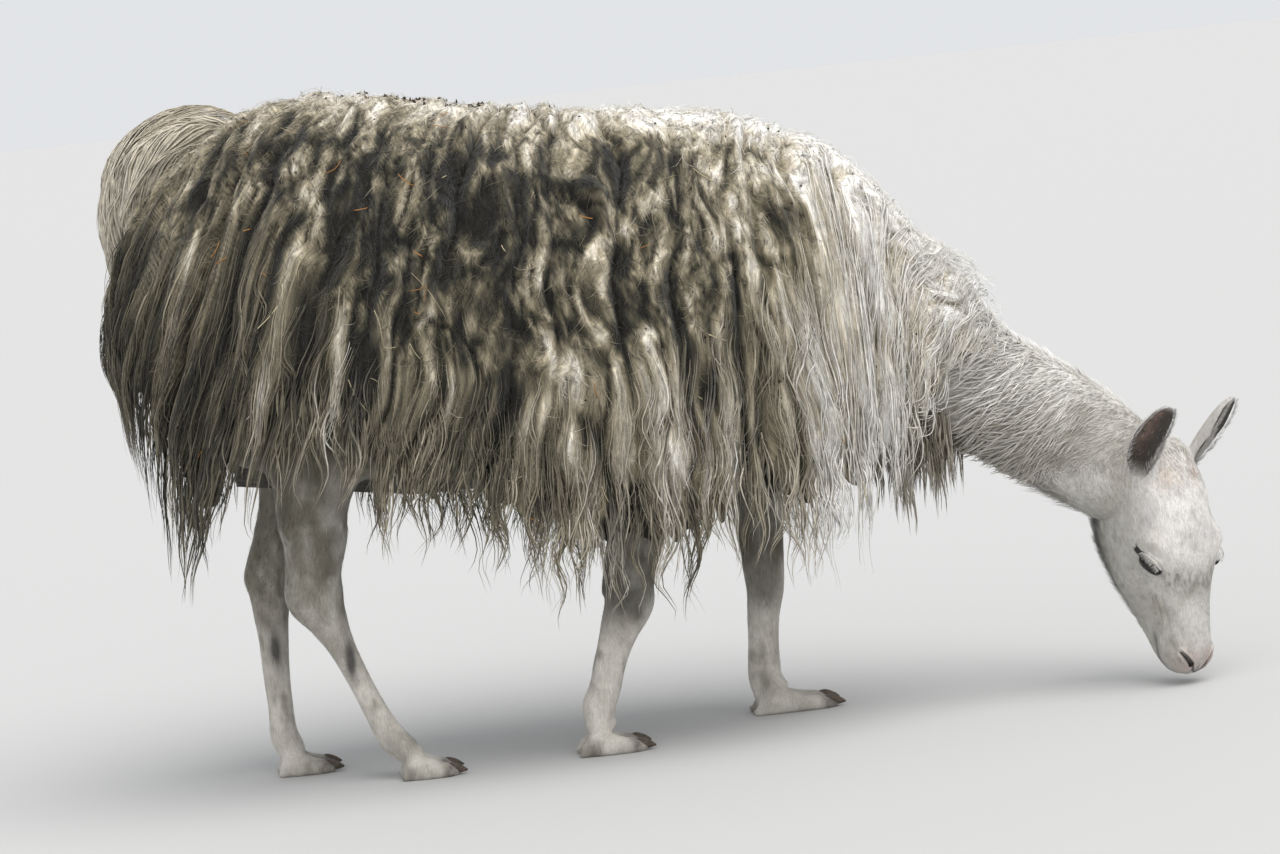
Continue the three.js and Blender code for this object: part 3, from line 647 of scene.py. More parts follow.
def soften_creases(mesh):
    """Relaxes the joints between the forms, but not the folds of the face or the toes."""
    shape = bmesh.new()
    shape.from_mesh(mesh)
    bmesh.ops.remove_doubles(shape, verts=shape.verts, dist=0.2 * MM)
    bmesh.ops.triangulate(shape, faces=shape.faces)
    creased = [e.calc_face_angle(0) > 0.45 for e in shape.edges]
    edges = np.array([[v.index for v in e.verts] for e in shape.edges])
    shape.to_mesh(mesh)
    shape.free()
    points = points_of(mesh)
    mask = np.zeros(len(points), bool)
    mask[edges[np.array(creased)].ravel()] = True
    local = into_head(points)
    on_head = (np.linalg.norm(local - [160, 0, 0], axis=1) < 230)
    free_face = on_head & ((local[:, 0] > 62) | (local[:, 2] > 96))
    toes = points[:, 2] < 9
    weight = spread(mask & ~free_face & ~toes, edges, 7)
    weight[free_face | toes] = 0
    points = relax(points, edges, weight * 0.6, 14)
    points[:, 2] = np.maximum(points[:, 2], 0.3)
    mesh.vertices.foreach_set("co", to_row(points).astype(np.float32).ravel())
    mesh.update()


skin_mesh = join_forms(body_forms)
soften_creases(skin_mesh)
skin = add_object("skin", skin_mesh)
print("skin", len(skin_mesh.vertices), "points", len(skin_mesh.polygons), "faces")

# %% [markdown]
# ## How the fleece drapes
# Wool on the trunk parts along the spine and falls down each side under its own weight, and behind
# the rump it falls backwards. So the fleece is laid out on fall lines. Q counts along the animal,
# from the middle of the rump to the neck, and S counts down a fall line from the spine to below the
# hem. Rays find where each fall line meets the form, and below the widest part it hangs straight.

# %% Fall lines
FAN_END = -700.0  # behind this the fall lines fan out round the rump
Q_START, Q_END = -1030.0, 640.0
Q_STEP, S_STEP, S_END = 10.0, 10.0, 1300.0
RAY_LENGTH, FALL_RAYS = 900, 34  # from the spine to the widest part
TUCK = 26  # how far the hanging wool turns in under the belly
WRAP_FROM, WRAP_TURN, WRAP_RAYS, WRAP_WIDEST = 500, 2.6, 46, 27  # ahead of this x they wrap the neck
HEM = [  # x, height of the lock tips
    [-880, 640], [-850, 610], [-826, 575], [-802, 505], [-782, 430], [-752, 410], [-715, 490],
    [-600, 545], [-525, 525], [-460, 425], [-400, 392], [-350, 420], [-260, 352], [-165, 286],
    [-50, 280], [50, 290], [130, 330], [180, 335], [255, 288], [330, 318], [400, 348], [455, 395],
    [500, 440], [540, 490], [600, 470], [640, 430],
]
HEART = [  # x, height of the middle of the section
    [-700, 700], [-400, 720], [0, 700], [300, 670], [395, 668], [495, 628], [588, 549], [640, 512],
]


def tree_of(forms):
    """A search tree over lofted forms, for rays."""
    points, faces = [], []
    for rings in forms:
        p, f = loft(rings)
        faces += [[v + len(points) for v in face] for face in f]
        points += p.tolist()
    return BVHTree.FromPolygons(points, faces)


def fall_plane(q):
    """Where a fall line leaves the spine, and its share of sideways and backwards travel."""
    if q >= FAN_END:
        return q, 1.0, 0.0
    turn = (FAN_END - q) / (FAN_END - Q_START) * math.pi / 2
    return FAN_END - 60 * math.sin(turn) ** 2, math.cos(turn), math.sin(turn)


def fall_line(q, side, tree):
    """Points down one fall line, a step apart, and the height of its hem."""
    x, sideways, back = fall_plane(q)
    wraps = x > WRAP_FROM
    heart = np.array([x, np.interp(x, [395, 588, 640], [0, -14, -26]), through(HEART, max(x, -700))], float)
    heading, up = np.array([-back, side * sideways, 0.0]), np.array([0, 0, 1.0])
    traced = []
    for turn in np.linspace(0, *((WRAP_TURN, WRAP_RAYS) if wraps else (math.pi / 2, FALL_RAYS))):
        ray = heading * math.sin(turn) + np.array([0, 0, math.cos(turn)])
        hit = tree.ray_cast(Vector(heart + ray * RAY_LENGTH), Vector(-ray), RAY_LENGTH)[0]
        traced.append(np.array(hit) if hit else heart)
    traced = np.array(traced)
    widest = traced[WRAP_WIDEST if wraps else FALL_RAYS - 1]
    hem = float(through(HEM, float(np.clip(widest[0], -880, 640))))
    drop = np.arange(12, widest[2] + 160, 12.0)[:, None]
    hung = widest - TUCK * ease(drop, 40, 360) * heading - up * drop
    if wraps:
        upper = traced[: WRAP_WIDEST + 1]
        wrapped = np.concatenate([traced, traced[-1] - up * drop])
        path = blend_paths(np.concatenate([upper, hung]), wrapped, float(ease(x, 505, 590)))
    else:
        path = np.concatenate([traced, hung])
    return even_steps(path), hem


def even_steps(path):
    """The same path, with its points one step of S apart."""
    length = np.concatenate([[0], np.cumsum(np.linalg.norm(np.diff(path, axis=0), axis=1))])
    at = np.arange(int(S_END / S_STEP) + 1) * S_STEP
    return np.stack([np.interp(at, length, path[:, k]) for k in range(3)], -1)


def blend_paths(first, second, share):
    return even_steps(first) * (1 - share) + even_steps(second) * share


def blur(table, rounds):
    """Evens out a grid of fall lines, but keeps the line of the spine."""
    for _ in range(rounds):
        padded = np.pad(table, ((1, 1), (1, 1), (0, 0)), mode="edge")
        cross = padded[:-2, 1:-1] + padded[2:, 1:-1] + padded[1:-1, :-2] + padded[1:-1, 2:]
        table = np.concatenate([table[:, :1], (table * 2 + cross)[:, 1:] / 6], 1)
    return table


print("hem from", HEM[0], "to", HEM[-1])

# %% The drape of each side
class Drape:
    """One side's fall lines: its surface, outward direction and hem at any Q and S."""

    def __init__(self, side, tree):
        self.side = side
        self.q = np.arange(Q_START, Q_END + 1, Q_STEP)
        lines = [fall_line(q, side, tree) for q in self.q]
        self.hem_height = np.array([hem for _, hem in lines])
        self.points = blur(np.array([path for path, _ in lines]), 4)
        along = np.gradient(self.points, axis=0)
        down = np.gradient(self.points, axis=1)
        self.out = unit(np.cross(along, down) * side)
        self.out = blur(self.out, 3)
        below = self.points[:, :, 2] <= self.hem_height[:, None]
        far = np.arange(self.points.shape[1]) > 15
        self.hem = np.argmax(below & far, axis=1) * S_STEP

    def read(self, table, q, s):
        i = np.clip((np.asarray(q, float) - Q_START) / Q_STEP, 0, len(self.q) - 1.001)
        j = np.clip(np.asarray(s, float) / S_STEP, 0, table.shape[1] - 1.001)
        a, b = np.floor(i).astype(int), np.floor(j).astype(int)
        u, v = (i - a)[..., None], (j - b)[..., None]
        top = table[a, b] * (1 - u) + table[a + 1, b] * u
        low = table[a, b + 1] * (1 - u) + table[a + 1, b + 1] * u
        return top * (1 - v) + low * v

    def place(self, q, s, lift=0.0):
        out = unit(self.read(self.out, q, s))
        return self.read(self.points, q, s) + out * np.asarray(lift)[..., None], out

    def hem_at(self, q):
        return np.interp(q, self.q, self.hem)


tree = tree_of([trunk_rings(0, 90, 96), limb(NECK, NECK_FRONT, 60, 72)])
drapes = {side: Drape(side, tree) for side in (-1, 1)}
print("hem lengths", [int(drapes[-1].hem_at(q)) for q in (-1000, -700, -400, 0, 400, 600)])

# %% [markdown]
# ## Folds in the fleece
# The felted wool has cracked into ropes eight or nine centimetres apart, which lean back towards
# the rump as they come down. Each rope is broken into wads. The height of the fleece at a place is
# worked out in one place for the mat, for what grows on it, and for the painted shade in its colour,
# which is darkest in the furrows.

# %% Relief and dirt of the fleece
ROPE_DEPTH = 33.0
FURROW_LEVEL = 300.0  # how far down the furrows below are given
LOCK_START = [  # Q, share of the way to the hem at which long locks begin
    [-1030, 0.26], [-800, 0.32], [-640, 0.42], [-500, 0.62], [-300, 0.64], [0, 0.58], [190, 0.46],
    [270, 0.36], [340, 0.12], [640, 0.06],
]
FURROWS = [  # Q of each furrow at that level
    -1046, -958, -870, -780, -695, -612, -545, -470, -400, -345, -285, -180, -125, -40, 58, 165, 212,
    300, 385, 455, 520, 580, 640, 728,
]
ROPE_LEAN = [  # Q, how far back a rope goes for each millimetre down
    [-1030, 0.35], [-880, 0.6], [-700, 0.85], [-600, 0.84], [-470, 0.76], [-290, 0.6], [-180, 0.42],
    [-60, 0.14], [60, 0.12], [165, 0.26], [212, 0.06], [300, 0.02], [400, 0.14], [480, 0.4],
    [560, 0.6], [640, 0.6],
]


def spot(q, s, side):
    """A place for noise to be read at. The two sides are one at the spine and part below it."""
    q, s = np.broadcast_arrays(np.asarray(q, float), np.asarray(s, float))
    return np.stack([q, s, side * 95 * (1 - np.exp(-s / 70))], -1)


def fallen(s):
    """The leaning fades as a rope comes down."""
    return 620 * (1 - np.exp(-np.asarray(s, float) / 620))


def rope_line(q, s, side):
    """Where the rope through a place crosses the level at which the furrows are given."""
    place = spot(q, s, side)
    seam = ease(s, 10, 160) * ease(q, Q_START, Q_START + 160)
    warp = 22 * noise(place, [150, 220, 100], 3) + 9 * noise(place, [60, 90, 100], 5)
    return q + through(ROPE_LEAN, q) * (fallen(s) - fallen(FURROW_LEVEL)) + warp * seam + 31 * (side > 0) * seam


def drawn_out(q, s, side):
    """S again, but counted slowly where the wool hangs in locks, so that what is read there is long."""
    start = through(LOCK_START, q) * drapes[side].hem_at(q)
    return s - 0.68 * np.maximum(s - start, 0)


def swirled(q, s, side):
    """The same place after the felt's swirls, stretched along the ropes."""
    line = rope_line(q, s, side)
    s = drawn_out(q, s, side)
    place = spot(line, s, side)
    across = 10 * noise(place, [70, 90, 100], 11, 2)
    down = 30 * noise(place + [300, 0, 0], [80, 90, 100], 13, 2)
    return spot(line + across, s + down, side)


def relief(q, s, side):
    """Height of the mat over its smooth form, and how deep in a furrow a place is (0 to 1)."""
    place = spot(q, s, side)
    phase = np.interp(rope_line(q, s, side), FURROWS, np.arange(len(FURROWS)) + 0.5)
    wave = np.abs(np.cos(np.pi * phase))
    strength = 0.62 + 0.5 * noise(place, [130, 240, 100], 9)
    strength = strength + 0.3 * ease(q, -120, 0) * (1 - ease(q, 330, 420))
    strength = strength * (0.5 + 0.5 * ease(s, 0, 110)) * (1 - 0.8 * ease(q, 480, 620))
    strength = np.clip(strength, 0.05, 1.2)
    ropes = ROPE_DEPTH * strength * (wave ** 0.55 - 0.76)
    swirl = swirled(q, s, side)
    wads = noise(swirl, [34, 88, 100], 21, 2)
    lumps = noise(swirl, [13, 38, 100], 33, 2)
    crack = np.clip(1 - np.abs(noise(swirl, [24, 46, 100], 35, 2)) / 0.2, 0, 1) * ease(s, 20, 90)
    hem = drapes[side].hem_at(q)
    lower = ease(s, hem * 0.42, hem * 0.62)
    hanks = np.abs(noise(swirl, [34, 100, 100], 37, 2))
    minor = np.clip(1 - np.abs(np.sin(np.pi * phase + 0.5 * wads)) / 0.3, 0, 1)
    minor = minor * ease(noise(place, [110, 260, 100], 39), -0.3, 0.5)
    height = ropes * (1 - 0.3 * lower) + 9 * wads * (0.5 + 0.5 * ease(s, 0, 90)) * (1 - 0.5 * lower)
    height = height - 8 * minor * (1 - lower)
    height = height + lumps * (5.2 - 2.8 * lower) - crack * 4.5 * (1 - lower)
    height = height + lower * 20 * (hanks ** 0.7 - 0.4)
    deep = np.clip((0.5 - wave) / 0.5, 0, 1) * strength + 0.5 * np.clip(-wads - 0.15, 0, 1)
    deep = deep + 0.5 * (crack + minor) * (1 - lower) + lower * 0.8 * np.clip(0.22 - hanks, 0, 1) / 0.22
    return height, np.clip(deep, 0, 1)


print("height and furrow", np.round(relief(0.0, 400.0, -1), 2))

# %% Colours of the fleece
# Linear colours, from the darkest dirt to clean wool. The painted shade in the furrows reaches the darkest of
# them.
SOOT_AND_SHADE = np.array([0.012, 0.0112, 0.0085])
DIRT_AND_SHADE = np.array([0.064, 0.0565, 0.036])
WOOL = np.array([0.285, 0.245, 0.168])
CREAM = np.array([0.59, 0.535, 0.435])
WHITE = np.array([0.84, 0.81, 0.76])
SHADES = np.array([SOOT_AND_SHADE, DIRT_AND_SHADE, WOOL, CREAM, WHITE])
SHADE_AT = [0.0, 0.22, 0.5, 0.76, 1.0]
LIGHT_ALONG = [  # Q, how light the wool is
    [-1030, 0.25], [-880, 0.24], [-700, 0.25], [-450, 0.29], [-200, 0.36], [0, 0.44], [150, 0.5],
    [200, 0.6], [260, 0.74], [330, 0.86], [420, 0.9], [520, 0.88], [640, 0.88],
]
LIGHT_DOWN = [  # S, how much lighter
    [0, 0.5], [45, 0.54], [110, 0.46], [190, 0.1], [420, 0.02], [600, 0.12], [800, 0.16],
    [1000, 0.1], [1300, 0.04],
]
PATCHES = [  # q, s, reach along, reach down, how much lighter
    (-548, 430, 22, 95, 0.26), (-380, 600, 50, 40, 0.04), (-262, 530, 44, 50, -0.12), (-170, 680, 50, 120, 0.1),
    (-10, 690, 40, 110, 0.2), (90, 720, 36, 90, 0.18), (230, 640, 90, 150, 0.2),
    (-640, 330, 50, 60, 0.06), (-450, 330, 60, 110, -0.1), (-240, 300, 80, 90, -0.1),
    (-420, 860, 70, 90, -0.1), (110, 70, 120, 60, 0.3), (470, 690, 40, 70, -0.22),
    (350, 560, 80, 150, 0.16), (238, 290, 26, 90, -0.18), (350, 430, 26, 150, 0.12),
    (-800, 560, 120, 150, -0.08), (20, 400, 30, 120, -0.08), (-100, 240, 50, 70, -0.08),
    (470, 300, 24, 50, -0.14), (-640, 40, 120, 50, -0.16),
]


def blend(a, b, share):
    share = np.clip(share, 0, 1)
    return a * (1 - share[..., None]) + b * share[..., None]


def layered(colour, *layers):
    """Lays more colours over a colour in turn, each with its share."""
    for over, share in layers:
        colour = blend(colour, over, share)
    return colour


def shade_of(light):
    return np.stack([np.interp(light, SHADE_AT, SHADES[:, k]) for k in range(3)], -1)


def fleece_light(q, s, side, deep):
    """How light the wool is at a place, from 0 for soot to 1 for clean white wool, darkened in the furrows as
    painted shade.
    """
    place = spot(q, s, side)
    swirl = swirled(q, s, side)
    light = through(LIGHT_ALONG, q) + through(LIGHT_DOWN, s) * (1 - 0.7 * ease(-q, 560, 760))
    light = light + 0.10 * noise(place, [130, 160, 100], 41, 2) * ease(s, 20, 120)
    for at_q, at_s, wide, tall, much in PATCHES:
        near = np.exp(-((q - at_q) / wide) ** 2 - ((s - at_s) / tall) ** 2)
        light = light + much * near * (0.6 + 0.4 * (side < 0))
    busy = 1 - 0.45 * ease(q, 330, 480)
    light = light + busy * 0.3 * noise(swirl, [22, 56, 100], 47, 2)
    light = light + busy * 0.22 * noise(swirl, [8, 22, 100], 49, 2)
    light = light - 0.5 * np.maximum(light - 0.84, 0)
    # The deeper in a furrow, the darker: painted shade.
    return light - np.asarray(deep) * 0.5


def fleece_colour(q, s, side, deep, bright=0.0):
    """The fleece's painted colour at a place, made lighter by bright."""
    return shade_of(np.clip(fleece_light(q, s, side, deep) + bright, 0, 1))


# %% [markdown]
# ## The felted mat
# Under everything lies a thick mat of felt. It is one closed body: the outside follows the fall
# lines with all its folds, and the underside turns in at the hem and crosses under the belly.

# %% Build the mat
MAT_ACROSS, MAT_DOWN = ((440, 98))
MAT_HEM_SHORT = 132.0  # the mat ends this far above the lock tips
BELLY = [  # x, height of the underside of the mat
    [-800, 640], [-700, 520], [-400, 470], [380, 450], [480, 480], [560, 500], [640, 430],
]
MAT_THICK, MAT_LIP = 26.0, 52.0  # the felt's thickness at the hem, and how far it rises inside it


def mat_rows(drape, q):
    """Outside rows of one side from the spine to the hem, then rows under it to the middle."""
    share = np.linspace(0, 1, MAT_DOWN)[None] ** 0.93
    points_down = np.abs(noise(spot(q, q * 0, drape.side), [30, 50, 100], 61, 2))
    ragged = (52 * points_down ** 0.8 - 14) * (1 - 0.6 * ease(-q, 600, 720))
    ends = drape.hem_at(q) - MAT_HEM_SHORT + 30 * ease(-q, 680, 780) + ragged * (1 - ease(q, 480, 560))
    s = share * ends[:, None]
    qq = np.repeat(q[:, None], MAT_DOWN, 1)
    height, deep = relief(qq, s, drape.side)
    height = height * (1 - 0.6 * ease(share, 0.9, 1)) - 10 * ease(share, 0.8, 1)
    height = height * (1 - ease(qq, 560, 635)) - 36 * ease(qq, 545, 636)
    points, _ = drape.place(qq, s, height)
    flow = spot(rope_line(qq, s, drape.side), drawn_out(qq, s, drape.side), drape.side)
    covered = ease(s / drape.hem_at(qq), through(LOCK_START, qq), through(LOCK_START, qq) + 0.12)
    # The mat is painted darker near its hem, as painted shade; where locks cover it at the shoulder it is a
    # little lighter.
    bright = covered * 0.05 * ease(qq, 300, 370) - 0.08 * ease(share, 0.85, 1)
    return points, fleece_colour(qq, s, drape.side, deep, bright), flow * MM


def under_rows(points, q):
    """The underside: in from the hem, up to the belly, and across to the middle plane."""
    edge = points[:, -1]
    x = np.clip(edge[:, 0], -800, 600)
    belly = np.interp(x, *np.array(BELLY, float).T)
    centre = np.stack([np.array([fall_plane(v)[0] for v in q]), np.zeros(len(q)), belly], -1)
    inward = (centre - edge) * [1, 1, 0]
    reach = np.linalg.norm(inward, axis=1, keepdims=True)
    inward = inward / np.maximum(reach, 1)
    thick = np.minimum(MAT_THICK, reach * 0.4)
    lip = edge + inward * thick * 0.16 - np.array([0, 0, 3.0])
    inner = edge + inward * thick + np.array([0, 0, MAT_LIP])
    high = inner.copy()
    high[:, 2] = np.maximum(belly - 12, inner[:, 2] + 4)
    rows = [lip, inner, inner * 0.5 + high * 0.5, high]
    rows += [high * (1 - t) + centre * t for t in (0.35, 0.7, 1.0)]
    return np.stack(rows, 1)


def build_mat():
    """Sews the two sides of the mat together at the spine and under the belly, and closes it."""
    q = np.concatenate([np.linspace(Q_START, FAN_END, MAT_ACROSS // 5)[:-1],
                        np.linspace(FAN_END, Q_END, MAT_ACROSS - MAT_ACROSS // 5 + 1)])
    sides = {}
    for side, drape in drapes.items():
        points, colour, flow = mat_rows(drape, q)
        under = under_rows(points, q)
        # The underside is painted at half the hem's colour: painted shade under the fleece.
        tone = np.repeat(colour[:, -1:] * 0.5, under.shape[1], 1)
        on = flow[:, -1:] + np.arange(1, under.shape[1] + 1)[None, :, None] * [0, 0.02, 0]
        sides[side] = [np.concatenate(pair, 1) for pair in ((points, under), (colour, tone), (flow, on))]
    right, left = sides[-1], sides[1]
    for a, b in zip(right, left):  # the two sides share the spine, the middle of the rump and the belly
        for line in (np.s_[:, 0], np.s_[0, :], np.s_[:, -1]):
            a[line] = b[line] = (a[line] + b[line]) / 2
    rows, columns = right[0].shape[:2]
    count = rows * columns
    index = np.arange(count).reshape(rows, columns)
    other = index + count
    other[:, 0], other[0, :], other[:, -1] = index[:, 0], index[0, :], index[:, -1]
    front = np.concatenate([index[-1], other[-1, -2:0:-1]])
    tables = [np.concatenate([a.reshape(-1, 3), b.reshape(-1, 3)]) for a, b in zip(right, left)]
    points, colour, flow = [np.concatenate([t, t[front].mean(0, keepdims=True)]) for t in tables]
    across, down = np.meshgrid(np.linspace(0, 0.98, rows), np.linspace(0, 0.48, columns), indexing="ij")
    faces, unwrap = [], []
    for grid, flip, shift in ((index, False, 0.0), (other, True, 0.5)):
        flat = np.stack([across, down + shift], -1)
        corners = [np.s_[:-1, :-1], np.s_[1:, :-1], np.s_[1:, 1:], np.s_[:-1, 1:]]
        corners = corners[::-1] if flip else corners
        faces += np.stack([grid[c] for c in corners], -1).reshape(-1, 4).tolist()
        unwrap.append(np.stack([flat[c] for c in corners], -2).reshape(-1, 2))
    last = len(points) - 1
    faces += [[last, int(front[(i + 1) % len(front)]), int(front[i])] for i in range(len(front))]
    round_front = np.linspace(0, 1, len(front) + 1)
    unwrap.append(np.stack([np.stack([0 * round_front[1:] + 0.999, round_front[1:] * 0 + 0.5], -1),
                            np.stack([0 * round_front[1:] + 0.985, round_front[1:]], -1),
                            np.stack([0 * round_front[1:] + 0.985, round_front[:-1]], -1)], 1).reshape(-1, 2))
    mesh = mesh_of("fleece_mat", points, faces)
    paint(mesh, colour)
    put(mesh, "flow", flow)
    store_unwrap(mesh, np.concatenate(unwrap))
    return tidy_closed(mesh)


def tidy_closed(mesh):
    """Drops unused points and faces without area, and turns the mesh outwards."""
    shape = bmesh.new()
    shape.from_mesh(mesh)
    bmesh.ops.delete(shape, geom=[v for v in shape.verts if not v.link_faces], context="VERTS")
    bmesh.ops.remove_doubles(shape, verts=shape.verts, dist=0.05 * MM)
    bmesh.ops.dissolve_degenerate(shape, edges=shape.edges, dist=0.02 * MM)
    shape.to_mesh(mesh)
    shape.free()
    return outward(mesh)


fleece_mat = add_object("fleece_mat", build_mat())
print("mat", len(fleece_mat.data.polygons), "faces")

# %% [markdown]
# ## Finishes
# Wool, hair, skin, horn and the eye each get a material. Colour comes from the painted attribute,
# so that a lock and the skin under it carry the same markings, and fine noise breaks it up.


# %% Shader helpers
class Wire:
    """A node socket that can be added, multiplied and mixed in Python."""

    def __init__(self, tree, socket):
        self.tree, self.socket = tree, socket

    def maths(self, kind, *values):
        return node(self.tree, "ShaderNodeMath", {"operation": kind}, *values)

    def __add__(self, other):
        return self.maths("ADD", self, other)

    def __sub__(self, other):
        return self.maths("SUBTRACT", self, other)

    def __mul__(self, other):
        return self.maths("MULTIPLY", self, other)

    __radd__, __rmul__ = __add__, __mul__


def node(tree, kind, settings=None, *values, out=0, **named):
    """Adds a node: settings first, then its inputs in order or by name. Returns one output."""
    made = tree.nodes.new(kind)
    for key, value in (settings or {}).items():
        setattr(made, key, value)
    inputs = list(enumerate(values)) + [(key.replace("_", " "), value) for key, value in named.items()]
    for key, value in inputs:
        if isinstance(value, Wire):
            tree.links.new(value.socket, made.inputs[key])
        elif value is not None:
            made.inputs[key].default_value = value
    return Wire(tree, made.outputs[out])


def mix_colour(tree, kind, share, a, b):
    return node(tree, "ShaderNodeMix", {"data_type": "RGBA", "blend_type": kind, "clamp_result": True},
                share, None, None, None, None, None, a, b, out=2)


def material(name, build):
    made = bpy.data.materials.new(name)
    made.use_nodes = True
    tree = made.node_tree
    tree.nodes.clear()
    shader = build(tree)
    output = tree.nodes.new("ShaderNodeOutputMaterial")
    tree.links.new(shader.socket, output.inputs["Surface"])
    return made


def grain(tree, place, size, detail, rough=0.5, stretch=None, out=0):
    """Noise with that many cells to a metre, which may be drawn out along an axis."""
    if stretch:
        place = node(tree, "ShaderNodeMapping", None, place, None, None, stretch)
    return node(tree, "ShaderNodeTexNoise", None, place, Scale=size, Detail=detail, Roughness=rough, out=out)


def ranged(tree, value, low, high, dark, light):
    """A value from low to high as a shade from dark to light."""
    return node(tree, "ShaderNodeMapRange", None, value, low, high, dark, light)


def flow_of(tree):
    return node(tree, "ShaderNodeAttribute", {"attribute_name": "flow"}, out=1)


def dressed(tree, shade, height, bump, rough, sheen, shine):
    """The end of each finish: painted colour times a shade, and relief of a strength and a depth."""
    painted = node(tree, "ShaderNodeAttribute", {"attribute_name": "tint"})
    grey = node(tree, "ShaderNodeCombineColor", None, shade, shade, shade)
    colour = mix_colour(tree, "MULTIPLY", 1.0, painted, grey)
    raised = node(tree, "ShaderNodeBump", None, Strength=bump[0], Distance=bump[1], Height=height)
    return node(tree, "ShaderNodeBsdfPrincipled", None, Base_Color=colour, Roughness=rough,
                Sheen_Weight=sheen, Sheen_Roughness=0.5, Specular_IOR_Level=shine, Normal=raised)


print("shader helpers ready")

# %% The finishes
def plain_shader(depth, bump, rough):
    """Horn, straw and crumbs: painted colour, broken by grain in the object's own coordinates."""

    def build(tree):
        place = node(tree, "ShaderNodeTexCoord", out=3)
        fine, broad = grain(tree, place, 500.0, 5.0, 0.6), grain(tree, place, 60.0, 3.0)
        shade = 1.0 - depth + (fine + broad - 0.5) * (2.0 * depth)
        return dressed(tree, shade, fine, (bump, 0.004), rough, 0.0, 0.25)

    return build


def felt_shader(tree):
    """Felt: streaks and wads that follow the ropes, swirled by a slower noise."""
    flow = flow_of(tree)
    swirl = grain(tree, flow, 24.0, 2.0, out=1)
    moved = node(tree, "ShaderNodeVectorMath", {"operation": "MULTIPLY_ADD"}, swirl, (0.03, 0.05, 0.0), flow)
    streak = grain(tree, moved, 330.0, 4.0, 0.65, (1, 0.13, 1))
    wad = grain(tree, moved, 85.0, 4.0, 0.6, (1, 0.4, 1))
    fuzz = grain(tree, flow, 900.0, 2.0)
    shade = ranged(tree, streak * 0.9 + wad * 1.2 + fuzz * 0.35, 0.88, 1.62, 0.08, 2.0)
    return dressed(tree, shade, streak * 0.4 + wad + fuzz * 0.12, (1.0, 0.009), 0.95, 0.15, 0.2)


def strand_shader(tree):
    """A lock: fine hairs that run along it, from its own length and width."""
    hair = grain(tree, flow_of(tree), 420.0, 5.0, 0.72, (1, 0.035, 1))
    broad = grain(tree, node(tree, "ShaderNodeTexCoord", out=3), 60.0, 3.0)
    shade = ranged(tree, hair + broad * 0.4, 0.46, 0.94, 0.3, 1.6)
    return dressed(tree, shade, hair, (0.8, 0.003), 0.75, 0.12, 0.3)


def hair_shader(tree):
    """Skin and short coat: painted colour broken by fine hairs that follow the body."""
    hair = grain(tree, flow_of(tree), 620.0, 4.0, 0.65, (1, 1, 0.1))
    broad = grain(tree, node(tree, "ShaderNodeTexCoord", out=3), 70.0, 4.0)
    shade = ranged(tree, hair + broad * 0.5, 0.5, 1.0, 0.72, 1.2)
    return dressed(tree, shade, hair, (0.5, 0.002), 0.85, 0.15, 0.25)


felt = material("matted_fleece", felt_shader)
lock_wool = material("lock_wool", strand_shader)
short_hair = material("short_coat", hair_shader)
loose_bits = material("loose_bits", plain_shader(0.2, 0.3, 0.8))
print("materials", len(bpy.data.materials))

# %% What the frame is told of a piece
def finish_piece(piece, finish, nodes=()):
    """Gives a piece its material, and tells the frame what it rides, shows and replaces."""
    piece.data.materials.clear()
    piece.data.materials.append(finish)
    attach(piece, "root")
    if nodes:
        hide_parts(*nodes)


# %% [markdown]
# ## Fibres
# A lock of wool is a bundle of fine tapered strands that share one wavy path and draw together at
# the tip. Each strand here is a closed three-sided sliver, swept along its path. All the strands
# of a piece are worked out in one table, because a loop over thousands of them would be slow.


# %% Sweep fibres into a mesh
UV_PATCH = 0.003  # the size of one strand's patch in the baking map
TIP_CURVE = 1.4  # above 1, a strand keeps its root's colour for longer


def drawer(random, count):
    """Draws one number for each lock, or one for each of its strands."""
    return lambda low, high, each=1: random.uniform(low, high, (count, each, 1))


def tapered(steps, root, belly, tip, belly_at=0.3):
    """Half widths along a strand."""
    t = np.linspace(0, 1, steps)
    return np.interp(t, [0, belly_at, 1], [root, belly, tip])


def fast_mesh(name, points, quads, triangles):
    mesh = bpy.data.meshes.new(name)
    mesh.vertices.add(len(points))
    mesh.vertices.foreach_set("co", points.astype(np.float32).ravel())
    corners = np.concatenate([quads.ravel(), triangles.ravel()]).astype(np.int32)
    starts = np.concatenate([np.arange(len(quads)) * 4, len(quads) * 4 + np.arange(len(triangles)) * 3])
    mesh.loops.add(len(corners))
    mesh.loops.foreach_set("vertex_index", corners)
    mesh.polygons.add(len(starts))
    mesh.polygons.foreach_set("loop_start", starts.astype(np.int32))
    mesh.update(calc_edges=True)
    return mesh


def corners_of(mesh):
    corners = np.empty(len(mesh.loops), np.int32)
    mesh.loops.foreach_get("vertex_index", corners)
    return corners


